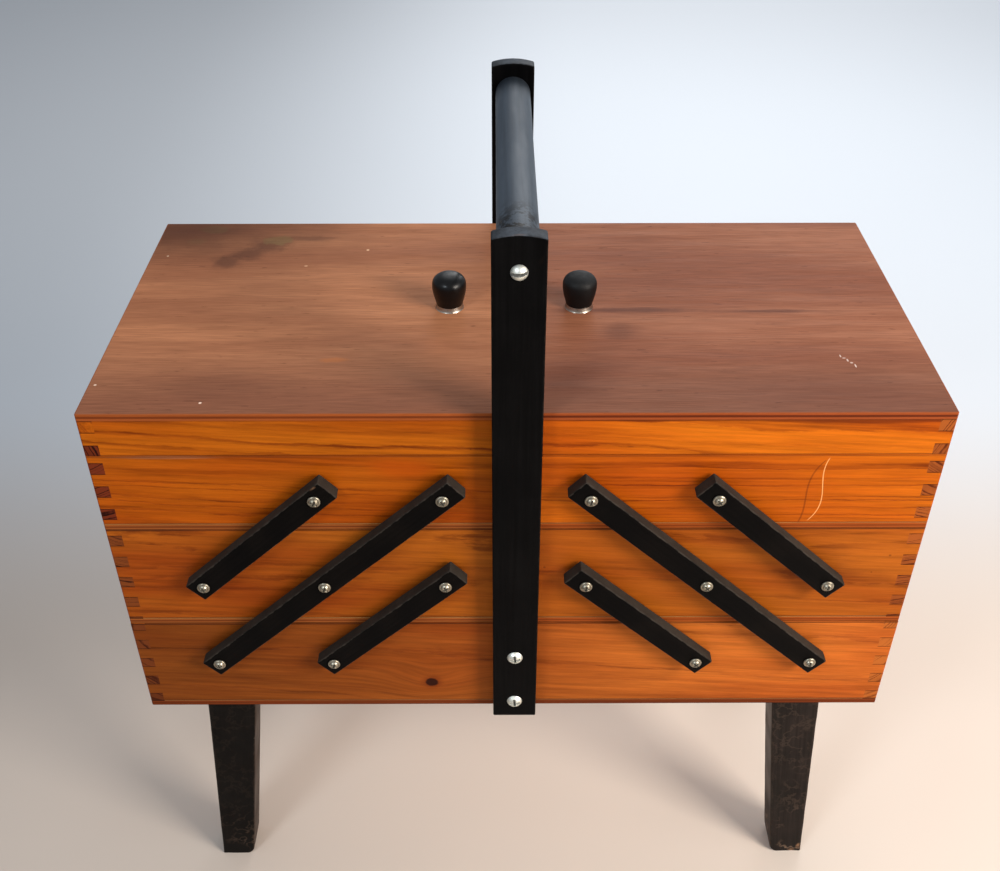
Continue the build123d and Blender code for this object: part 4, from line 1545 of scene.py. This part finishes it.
@dataclass
class CarryHandle:
    """Two arched posts and the bar between them."""

    body: str = "carrier_base"
    arch: float = 2.0 * MM
    arch_depth: float = 9.0 * MM
    edge_round: float = 0.8 * MM
    worn_in: float = 0.012

    def post(self, face: Face, material: Material) -> str:
        """Builds one post: a bar whose top rows are raised by arch (1 - (x / half)^2)."""
        node = f"handle_post_{face.word}"
        low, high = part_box(node)
        half, thick = (high.x - low.x) / 2, high.y - low.y
        length = high.z - low.z - self.arch
        middle_y = (low.y + high.y) / 2

        def place(points: np.ndarray) -> np.ndarray:
            """Along is up, across is to the right, through is outwards."""
            up, across, through = points.T
            lift = self.arch * (1 - (across / half) ** 2) * soft_step(up, length - self.arch_depth, length)
            return np.stack([across, middle_y + face.value * through, low.z + up + lift], -1)

        chips = (
            Chip((length, -0.1 * half, 0.42 * thick), 1.3 * MM, 0.4 * MM),
            Chip((length - 9.0 * MM, 0.85 * half, 0.5 * thick), 0.9 * MM, 0.3 * MM),
            Chip((length - 36.0 * MM, -half, 0.5 * thick), 1.0 * MM, 0.4 * MM),
        )
        bar = Bar(
            length, (half, half), (thick / 2, thick / 2), self.edge_round, self.edge_round, self.edge_round,
            chips if face is Face.FRONT else (), 31 + face.value,
        )
        piece = new_piece(f"painted_{node}", [bar.sheet(place)])
        return settle(piece, material, self.body, node)

    def grip(self) -> str:
        """Builds the bar: radius R (1 - worn_in sin^2), a little worn in towards its middle."""
        low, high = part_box("handle_bar")
        middle, radius, half = (low + high) / 2, (high.x - low.x) / 2, (high.y - low.y) / 2
        along = np.linspace(-half, half, 90)
        around = radius * (1 - self.worn_in * np.sin(math.pi * (along / (2 * half) + 0.5)) ** 2)
        rim = 0.9 * radius
        side = np.stack([around, along], -1)
        sheet = turned(np.vstack([[(0.0, -half), (rim, -half)], side, [(rim, half), (0.0, half)]]), 64)
        lay = np.array([(1, 0, 0), (0, 0, 1), (0, -1, 0)], float)
        piece = new_piece("worn_handle_bar", [sheet], [(lay, np.array(middle))])
        paint = GripPaint("grip_paint", tuple(middle), half).build()
        return settle(piece, paint, self.body, "handle_bar")

    def build(self) -> list[str]:
        """Builds the posts and the bar."""
        paint = BlackPaint(
            "post_paint", black=(0.0012, 0.0012, 0.0014), warm=(0.0026, 0.0024, 0.0025),
            dust_colour=(0.090, 0.105, 0.125), dust=1.0, dust_low=0.5, wiped=0.75, rim_width=0.0009,
            rim_strength=0.35, seed=4.4,
        ).build()
        return [self.post(face, paint) for face in Face] + [self.grip()]


@dataclass(frozen=True)
class Pivots:
    """Places of the arms' pivots, measured from the middle and from the floor."""

    inner: float = 37.5 * MM
    middle: float = 102.0 * MM
    outer: float = 166.5 * MM
    base_z: float = 204.5 * MM
    mid_z: float = 264.3 * MM
    top_z: float = 324.1 * MM


@dataclass(frozen=True)
class Site:
    """Where the fasteners of one CAD node stand: (x, z) on the front and the back alike."""

    name: str
    body: str
    node: str
    places: Sequence[Pair]


@dataclass
class Fastenings:
    """Screws, cup washers and spacers in sight."""

    nickel: Material
    pale_nickel: Material
    base_half_depth: float = 102.0 * MM
    tray_half_depth: float = 101.6 * MM
    arm_standoff: float = 1.2 * MM
    arm_thickness: float = 7.8 * MM
    side_clearance: float = 0.2 * MM
    post_outer: float = 111.0 * MM
    wall_depth: float = 6.5 * MM
    bore: float = 2.0 * MM
    washer_radius: float = 3.4 * MM
    washer_height: float = 0.6 * MM
    washer_crown: float = 0.35 * MM
    head_lift: float = 0.65 * MM
    spacer_radius: float = 5.2 * MM
    first_pivot_turn: float = 0.9
    first_post_turn: float = 0.08
    turn_step: float = 2.37
    turn_by_x: float = 13.0

    def pivots(self, site: Site, half_depth: float) -> str:
        """Builds the pivot screws of one node, each with its spacer and cup washer.

        Args:
            site: where they stand.
            half_depth: where the wall behind them stands.

        Returns:
            The piece's name.
        """
        arm_inner = self.base_half_depth + self.arm_standoff - half_depth
        seat = arm_inner + self.arm_thickness + self.side_clearance
        screw = Screw(
            head_radius=2.7 * MM, head_height=2.1 * MM, shank_radius=1.9 * MM, tip=-self.wall_depth,
            seat=seat + self.head_lift, drive=Drive.CROSS,
        )
        sheets = [
            screw.sheet(),
            washer_ring(self.bore, self.washer_radius, seat, seat + self.washer_height, self.washer_crown),
            washer_ring(self.bore, self.spacer_radius, 0.0, arm_inner - self.side_clearance),
        ]
        return self.spread(site, sheets, half_depth, self.nickel, self.first_pivot_turn, self.turn_step)

    def through_post(self, site: Site, radius: float, depth: float, drive: Drive, turn_step: float) -> str:
        """Builds the screws that go through the posts.

        Args:
            site: where they stand.
            radius: radius of the head.
            depth: how far the screw goes into what is behind the post.
            drive: cross or slot.
            turn_step: turn from one screw to the next.

        Returns:
            The piece's name.
        """
        tip = -(self.post_outer - self.base_half_depth) - depth
        screw = Screw(
            head_radius=radius, head_height=2.8 * MM, shank_radius=2.1 * MM, tip=tip, seat=0.0, drive=drive,
            drive_half=0.6 * MM, drive_share=0.8,
        )
        return self.spread(
            site, [screw.sheet()], self.post_outer, self.pale_nickel, self.first_post_turn, turn_step,
        )

    def spread(
        self, site: Site, sheets: Sequence[Sheet], out: float, metal: Material,
        first_turn: float, turn_step: float,
    ) -> str:
        """Copies upright fasteners to their places on both walls, each turned further than the last.

        Args:
            site: where they stand.
            sheets: surfaces of one fastener.
            out: distance of its seat from the middle plane.
            metal: its finish.
            first_turn: turn of the first.
            turn_step: turn from one to the next.

        Returns:
            The piece's name.
        """
        copies = []
        for index, (x, z, face) in enumerate((x, z, face) for x, z in site.places for face in Face):
            turn = outward_turn(face, first_turn + (turn_step * index + self.turn_by_x * x))
            copies.append((turn, np.array([x, face.value * out, z])))
        piece = new_piece(site.name, clear_of_recess(sheets), copies)
        return settle(piece, metal, site.body, site.node)

    def build(self, pivots: Pivots) -> list[str]:
        """Builds every screw set of the posts, the base and the trays."""
        low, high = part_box("handle_post_front")
        body = "carrier_base"
        bar = Site("slotted_bar_screws", body, "handle_bar_screws", [(0.0, high.z - 18.0 * MM)])
        feet = [(0.0, low.z + 13.0 * MM), (0.0, low.z + 49.7 * MM)]
        foot = Site("cross_post_screws", body, "post_screws", feet)
        base = [(side.value * x, pivots.base_z) for side in Side for x in (pivots.outer, pivots.middle)]
        made = [
            self.through_post(bar, 4.0 * MM, 24.0 * MM, Drive.SLOT, 0.0),
            self.through_post(foot, 4.4 * MM, 6.5 * MM, Drive.CROSS, self.turn_step),
            self.pivots(Site("base_pivot_set", body, "base_pivot_screws", base), self.base_half_depth),
        ]
        tiers = (
            ("mid", pivots.mid_z, (pivots.outer, pivots.middle, pivots.inner)),
            ("top", pivots.top_z, (pivots.middle, pivots.inner)),
        )
        for side in Side:
            for tier, z, across in tiers:
                tray = f"{side.word}_{tier}_tray"
                places = [(side.value * x, z) for x in across]
                site = Site(f"{side.word}_{tier}_pivot_set", tray, f"{tray}_pivot_screws", places)
                made.append(self.pivots(site, self.tray_half_depth))
        return made


@dataclass
class FoldingArms:
    """The black arms of one side, on the front and the back."""

    side: Side
    width: float = 13.5 * MM
    thickness: float = 7.8 * MM
    inner: float = 103.2 * MM
    low_overhang: float = 7.0 * MM
    high_overhang: float = 10.0 * MM
    corner: float = 0.8 * MM
    edge_round: float = 0.6 * MM
    waver: float = 0.15 * MM

    def pair(self, kind: str, low: Pair, high: Pair, chips: tuple[Chip, ...], material: Material) -> str:
        """Builds one arm and its twin on the back.

        Args:
            kind: long, lower or upper.
            low: (x, z) of its lowest pivot.
            high: (x, z) of its highest pivot.
            chips: knocks on the front arm.
            material: its paint.

        Returns:
            Name of the piece, which stands for the CAD node of both arms.
        """
        node = f"{self.side.word}_{kind}_arms"
        start, stop = (np.array([self.side.value * x, 0.0, z]) for x, z in (low, high))
        span = float(np.linalg.norm(stop - start))
        along = (stop - start) / span
        upward = np.array([-along[2], 0.0, along[0]]) * np.sign(along[0])
        half_width, half_thickness = self.width / 2, self.thickness / 2
        sheets = []
        for face in Face:
            outward = np.array([0.0, face.value, 0.0])
            end = start + outward * (self.inner + half_thickness) - along * self.low_overhang
            axes = np.stack([along, upward, outward])

            def place(points: np.ndarray, end: np.ndarray = end, axes: np.ndarray = axes) -> np.ndarray:
                """Along follows the pivots, across points to the arm's upper edge, through outwards."""
                return end + points @ axes

            seed = 50 + len(kind) * 7 + self.side.value + face.value
            bar = Bar(
                self.low_overhang + span + self.high_overhang, (half_width, half_width),
                (half_thickness, half_thickness), self.corner, self.edge_round, self.edge_round,
                chips if face is Face.FRONT else (), seed, self.waver,
            )
            sheets.append(bar.sheet(place))
        return settle(new_piece(f"painted_{node}", sheets), material, node, node)

    def build(self, pivots: Pivots) -> list[str]:
        """Builds the long, lower and upper arms."""
        paint = BlackPaint(
            f"arm_paint_{self.side.word}", rubbed=(0.060, 0.048, 0.038), rim_strength=0.7, dust=0.9, wiped=0.35,
            seed=2.0 + self.side.value,
        ).build()
        half, out = self.width / 2, self.thickness / 2
        long_chip = (Chip((0.1, -half, out), 0.7 * MM, 0.3 * MM),)
        upper_chip = (Chip((0.1005, 0.9 * half, out), 0.9 * MM, 0.3 * MM),) if self.side is Side.LEFT else ()
        arms = (
            ("long", (pivots.outer, pivots.base_z), (pivots.inner, pivots.top_z), long_chip),
            ("lower", (pivots.middle, pivots.base_z), (pivots.inner, pivots.mid_z), ()),
            ("upper", (pivots.outer, pivots.mid_z), (pivots.middle, pivots.top_z), upper_chip),
        )
        return [self.pair(*arm, paint) for arm in arms]


@dataclass(frozen=True)
class TrayLook:
    """What the trays of one side look like: fronts, outer end grain, floor edges and marks."""

    top_ring: float
    top_wander: float
    top_run_out: float
    top_late: float
    top_tone_and_painted_shade: Pair
    top_ends: tuple[Colour, Colour]
    top_marks: tuple[Smudge | Stroke, ...]
    mid_pith: float
    mid_tone_and_painted_shade: Pair
    mid_ends: tuple[Colour, Colour]
    floor_edges: tuple[Colour, Colour]


WARM_ENDS = (shown(158, 82, 34), shown(88, 36, 15))
TRAY_LOOKS = {
    Side.LEFT: TrayLook(
        # end grain darker on the left than on the right: partly its own colour, partly painted shade of the
        # dimmer left side
        8.4 * MM, 11.0 * MM, 0.05, 0.65, (0.72, 0.65), (shown(112, 46, 24), shown(32, 11, 7)),
        (
            Smudge(  # varnish worn off the rim
                (-0.172, TRAY_FRONT_Y, 0.3450), (0.036, THROUGH, 0.0014), shown(156, 100, 66), 0.6, 1.2, 200.0,
                0.7, 0.1,
            ),
            Smudge(  # darker swirl near the post
                (-0.058, TRAY_FRONT_Y, 0.3370), (0.024, THROUGH, 0.0085), shown(178, 74, 8), 0.55, 0.8, 90.0,
                0.8, 0.4,
            ),
        ),
        0.030, (0.68, 0.62), (shown(124, 63, 28), shown(56, 24, 12)), (shown(158, 88, 40), shown(116, 56, 24)),
    ),
    Side.RIGHT: TrayLook(
        4.4 * MM, 7.0 * MM, 0.02, 0.95, (0.86, 0.87), WARM_ENDS,
        (
            # painted shadow beside the pale scratch
            Stroke(
                (0.1467, TRAY_FRONT_Y, 0.3005), height=0.0425, lean=0.0089, bow=-0.0110, twist=0.0180,
                width=0.00065, colour=shown(96, 36, 10), strength=0.5,
            ),
            Stroke(
                (0.1512, TRAY_FRONT_Y, 0.3019), height=0.0423, lean=0.0057, bow=0.0088, twist=0.0222,
                width=0.00034, colour=shown(250, 180, 112), strength=0.8,
            ),
        ),
        0.012, (0.69, 0.71), WARM_ENDS, (shown(164, 80, 30), shown(130, 58, 20)),
    ),
}


@dataclass
class TraysOfSide:
    """Middle and top tray of one side: boards, floors and hinge leaves."""

    side: Side

    def build(self, brass: Material) -> list[str]:
        """Dresses the side's trays."""
        sign, look = self.side.value, TRAY_LOOKS[self.side]
        top, mid = f"{self.side.word}_top_tray", f"{self.side.word}_mid_tray"
        along_x, along_y = Grain.ALONG_X, Grain.ALONG_Y
        top_outer, mid_outer = TOP_PINE.with_ends(*look.top_ends), MID_PINE.with_ends(*look.mid_ends)
        names = dress_all([
            BoardFinish(
                f"{top}_front", TOP_PINE, along_x, 11.0 + sign, (0.016, 0.052), look.top_ring, look.top_wander,
                look.top_late, look.top_run_out, shade=look.top_tone_and_painted_shade, seam_shade=0.4, marks=look.top_marks,
            ),
            BoardFinish(f"{top}_back", TOP_PINE, along_x, 21.0 + sign, (-0.03, 0.02), 6.0 * MM),
            BoardFinish(
                f"{top}_outer_end", top_outer, along_y, 31.0 + sign, (0.02 * sign, 0.045), 2.2 * MM, seam_shade=0.4,
            ),
            BoardFinish(f"{top}_inner_end", TOP_PINE, along_y, 41.0 + sign),
            BoardFinish(
                f"{mid}_front", MID_PINE, along_x, 51.0 + sign, (0.04, look.mid_pith), 8.0 * MM, 18.0 * MM, 0.6,
                shade=look.mid_tone_and_painted_shade,
            ),
            BoardFinish(f"{mid}_back", MID_PINE, along_x, 61.0 + sign, (-0.04, -0.02), 7.0 * MM),
            BoardFinish(f"{mid}_outer_end", mid_outer, along_y, 71.0 + sign, (-0.02 * sign, 0.055), 2.0 * MM),
            BoardFinish(f"{mid}_inner_end", MID_PINE, along_y, 81.0 + sign),
            PlyFinish(f"{top}_floor", 0.0 + sign, *look.floor_edges),
            PlyFinish(f"{mid}_floor", 5.0 + sign, *look.floor_edges),
        ])
        return names + [dress(f"{self.side.word}_tray_hinges", brass)]


def lid_mark(
    x: float, y: float, reach_x: float, reach_y: float, colour: Colour, strength: float, ragged: float,
    grain: float, soft: float,
) -> Smudge:
    """A stain, a dent or a painted shadow on the top of a lid's panel.

    Args:
        x: its middle.
        y: its middle.
        reach_x: its half width.
        reach_y: its half depth.
        colour: its own colour.
        strength: how strongly it covers.
        ragged: how far noise bends its border.
        grain: fineness of that noise.
        soft: share of it that fades out.

    Returns:
        The mark.
    """
    return Smudge((x, y, LID_TOP_Z), (reach_x, reach_y, THROUGH), colour, strength, ragged, grain, soft)


DARK_STAIN, BEIGE_FILM = shown(84, 52, 40), shown(150, 124, 80)
DARK_STREAK, PALE_SCRATCH = shown(74, 40, 34), shown(236, 214, 200)
LEFT_LID_MARKS = tuple(lid_mark(*row) for row in (
    (-0.168, 0.052, 0.013, 0.011, DARK_STAIN, 0.62, 0.9, 150.0, 0.75),
    (-0.158, 0.062, 0.013, 0.012, DARK_STAIN, 0.55, 0.9, 150.0, 0.75),
    (-0.146, 0.073, 0.018, 0.013, DARK_STAIN, 0.62, 0.9, 150.0, 0.75),
    (-0.122, 0.081, 0.026, 0.005, DARK_STAIN, 0.45, 0.9, 90.0, 0.9),
    (-0.142, 0.079, 0.010, 0.007, BEIGE_FILM, 0.55, 1.2, 190.0, 0.4),
    (-0.184, 0.093, 0.010, 0.006, BEIGE_FILM, 0.6, 1.1, 190.0, 0.4),
    (-0.192, 0.078, 0.007, 0.006, BEIGE_FILM, 0.3, 1.0, 150.0, 0.6),
    (-0.150, -0.078, 0.070, 0.022, shown(96, 58, 46), 0.32, 0.8, 28.0, 0.9),
    (-0.200, 0.095, 0.130, 0.055, shown(82, 49, 36), 0.85, 0.6, 20.0, 0.98),
    (-0.094, -0.054, 0.010, 0.003, shown(190, 112, 62), 0.5, 0.9, 160.0, 0.6),
    (-0.0869, 0.0662, 0.0011, 0.0011, shown(236, 190, 150), 0.9, 0.2, 400.0, 0.4),
    (-0.1215, 0.0466, 0.0013, 0.0010, shown(220, 170, 130), 0.8, 0.2, 400.0, 0.4),
    (-0.1556, -0.0921, 0.0009, 0.0009, shown(250, 220, 196), 0.9, 0.2, 400.0, 0.4),
    (-0.2114, -0.0763, 0.0009, 0.0008, shown(235, 205, 180), 0.9, 0.2, 400.0, 0.4),
))
RIGHT_LID_MARKS = tuple(lid_mark(*row) for row in (
    (0.060, -0.0045, 0.062, 0.0042, DARK_STREAK, 0.62, 0.7, 60.0, 0.9),
    (0.140, -0.0060, 0.052, 0.0026, DARK_STREAK, 0.6, 0.7, 60.0, 0.9),
    (0.056, -0.027, 0.014, 0.014, DARK_STREAK, 0.35, 0.9, 60.0, 0.9),
    # painted shadow of the front handle post on the lid, just right of it
    (0.030, -0.070, 0.034, 0.028, DARK_STREAK, 0.3, 0.8, 40.0, 0.95),
    (0.150, -0.080, 0.090, 0.024, shown(100, 60, 48), 0.3, 0.8, 24.0, 0.95),
    (0.1688, -0.0512, 0.0005, 0.0017, PALE_SCRATCH, 0.7, 0.5, 300.0, 0.6),
    (0.1702, -0.0532, 0.0013, 0.0006, PALE_SCRATCH, 0.6, 0.5, 300.0, 0.6),
    (0.1716, -0.0552, 0.0006, 0.0017, PALE_SCRATCH, 0.65, 0.5, 300.0, 0.6),
    (0.1732, -0.0576, 0.0011, 0.0009, PALE_SCRATCH, 0.6, 0.5, 300.0, 0.6),
    (0.1745, -0.0604, 0.0005, 0.0021, PALE_SCRATCH, 0.75, 0.5, 300.0, 0.6),
    (0.0310, 0.0180, 0.010, 0.016, DARK_STREAK, 0.25, 0.8, 60.0, 0.9),
))
FLAME = shown(92, 32, 12)


@dataclass
class Lid:
    """One lid: rails, stained panel, knob and collar."""

    side: Side
    knob_x: float = 35.8 * MM
    collar_height: float = 2.5 * MM
    collar_foot: float = 8.0 * MM
    collar_top: float = 7.3 * MM
    collar_bore: float = 1.6 * MM
    neck: float = 7.3 * MM
    belly: float = 9.4 * MM
    belly_height: float = 11.0 * MM
    knob_height: float = 17.8 * MM
    crown_power: float = 2.5
    panel_thickness: float = 3.9 * MM

    def finishes(self) -> list[BoardFinish | StainedPanel]:
        """Finishes of the rails and the panel."""
        word, sign = self.side.word, self.side.value
        long_rails, end_rails, panel = (f"{word}_lid_{part}" for part in ("long_rails", "end_rails", "panel"))
        if self.side is Side.LEFT:
            # end grain darker on the left than on the right: partly its own colour, partly painted shade of the
            # dimmer left side
            ends = LID_PINE.with_ends(shown(116, 48, 24), shown(36, 12, 8))
            rails = BoardFinish(
                long_rails, LID_PINE, Grain.ALONG_X, 91.0 + sign, (0.0, -0.052), 4.6 * MM, 14.0 * MM, 0.95,
                shade=(0.72, 0.65), seam_shade=0.25,
            )
            end_look = {"shade": (0.72, 0.72), "pale_above": 0.3600}
            cover = StainedPanel(
                panel, 13.0 + 4.0 * sign, LEFT_LID_MARKS, shown(192, 129, 90), shown(152, 96, 67),
                shown(128, 82, 62), shown(150, 76, 34), shown(112, 52, 22),
            )
        else:
            ends = LID_PINE.with_ends(shown(160, 84, 34), shown(90, 36, 14))
            flames = (
                Smudge(
                    (0.165, TRAY_FRONT_Y, 0.3676), (0.105, THROUGH, 0.0046), FLAME, 0.75, 1.5, 260.0, 0.7, 0.05,
                ),
                Smudge(
                    (0.060, TRAY_FRONT_Y, 0.3674), (0.070, THROUGH, 0.0016), FLAME, 0.7, 1.3, 260.0, 0.6, 0.05,
                ),
            )
            rails = BoardFinish(
                long_rails, LID_PINE, Grain.ALONG_X, 91.0 + sign, (0.0, 0.05), 6.4 * MM, 14.0 * MM, 0.6,
                shade=(0.88, 0.92), seam_shade=0.25, marks=flames,
            )
            end_look = {}
            cover = StainedPanel(panel, 13.0 + 4.0 * sign, RIGHT_LID_MARKS)
        end = BoardFinish(
            end_rails, ends, Grain.ALONG_Y, 101.0 + sign, (0.2 * sign, -0.04), 2.2 * MM, seam_shade=0.25, **end_look,
        )
        return [rails, end, cover]

    def knob_profile(self) -> np.ndarray:
        """Profile (r, z) of the knob above its collar.

        Up to the belly the radius grows as a sine quarter wave from the neck. Above it, it
        follows a superellipse, whose power makes the crown full and nearly flat on top.
        """
        rise = np.linspace(0, 1, 22)
        swell = np.sin(rise * math.pi / 2) ** 1.15
        lower = np.stack([self.neck + (self.belly - self.neck) * swell, rise * self.belly_height], -1)
        angle = np.linspace(0, math.pi / 2, 26)[1:]
        power = 2 / self.crown_power
        crown = self.knob_height - self.belly_height
        radius = self.belly * np.maximum(np.cos(angle), 0) ** power
        upper = np.stack([radius, self.belly_height + crown * np.sin(angle) ** power], -1)
        upper[-1, 0] = 0.0
        return np.vstack([[(0.0, 0.0)], lower, upper])

    def collar(self) -> Sheet:
        """Flared collar under the knob, upright on the panel."""
        bend = np.linspace(0, 1, 7)
        flare = self.collar_foot - (self.collar_foot - self.collar_top) * bend**0.6
        inside = [
            (self.collar_top - 0.3 * MM, self.collar_height), (self.collar_bore, self.collar_height),
            (self.collar_bore, 0.0), (self.collar_foot - 0.2 * MM, 0.0),
        ]
        return turned_ring(np.vstack([np.stack([flare, self.collar_height * bend], -1), inside]), 64)

    def knob(self) -> list[str]:
        """Builds the knob, its collar and the screw that holds them from inside the lid."""
        word, sign, left = self.side.word, self.side.value, self.side is Side.LEFT
        body = f"{word}_lid"
        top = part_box(f"{word}_lid_panel")[1].z
        foot, seat = (np.array([sign * self.knob_x, 0.0, z]) for z in (top, top + self.collar_height))
        knob = new_piece(f"turned_{word}_knob", [turned(self.knob_profile(), 64)], [(np.eye(3), seat)])
        dust, roughness, coat = (0.12, 0.28, 0.04) if left else (0.4, 0.48, 0.0)
        lacquer = KnobLacquer(f"lacquer_{word}_knob", sign * 2.0, dust, roughness, coat).build()
        screw = Screw(
            head_radius=3.0 * MM, head_height=1.8 * MM, shank_radius=1.5 * MM, tip=-17.4 * MM, seat=0.0,
            drive=Drive.SLOT,
        ).sheet()
        under = np.array([(1, 0, 0), (0, -1, 0), (0, 0, -1)], float)
        points = screw.vertices() @ under.T + np.array([0.0, 0.0, -self.panel_thickness])
        fittings = clear_of_recess([self.collar(), screw.moved(points, screw.fields)])
        ring = new_piece(f"pale_{word}_collar", fittings, [(np.eye(3), foot)])
        metal = MetalFinish(f"pale_metal_{word}", (0.46, 0.43, 0.38), (0.24, 0.20, 0.16), 0.26).build()
        return [
            settle(knob, lacquer, body, f"{word}_knob"),
            settle(ring, metal, body, f"{word}_knob_fittings"),
        ]

    def build(self, brass: Material) -> list[str]:
        """Dresses the lid's boards, panel and hinges and builds its knob."""
        return dress_all(self.finishes()) + [dress(f"{self.side.word}_lid_hinges", brass)] + self.knob()


def report(name: str, pieces: Sequence[str]) -> None:
    """Logs what one sub-assembly has made or dressed."""
    for piece in pieces:
        log.info("%s: %s", name, piece)


def main() -> None:
    """Builds the studio and every sub-assembly in order."""
    logging.basicConfig(level=logging.INFO, format="%(message)s")
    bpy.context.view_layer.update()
    pivots = Pivots()
    nickel = MetalFinish("nickel", (0.46, 0.42, 0.33), (0.22, 0.19, 0.14), 0.30).build()
    pale_nickel = MetalFinish("pale_nickel", (0.96, 0.97, 0.90), (0.70, 0.70, 0.61), 0.38).build()
    brass = MetalFinish("brass", (0.72, 0.52, 0.24), (0.34, 0.23, 0.10), 0.32, has_recess=False).build()
    steel = MetalFinish("leg_screw_steel", (0.62, 0.60, 0.56), (0.30, 0.27, 0.24), has_recess=False).build()

    Studio().build()
    base = CarrierBase()
    report("base", base.boards())
    report("legs", base.legs() + [dress("leg_screws", steel)])
    report("handle", CarryHandle().build())
    report("screws", Fastenings(nickel, pale_nickel).build(pivots))
    for side in Side:
        report(f"{side.word} trays", TraysOfSide(side).build(brass))
        report(f"{side.word} lid", Lid(side).build(brass))
        report(f"{side.word} arms", FoldingArms(side).build(pivots))


if __name__ == "__main__":
    main()
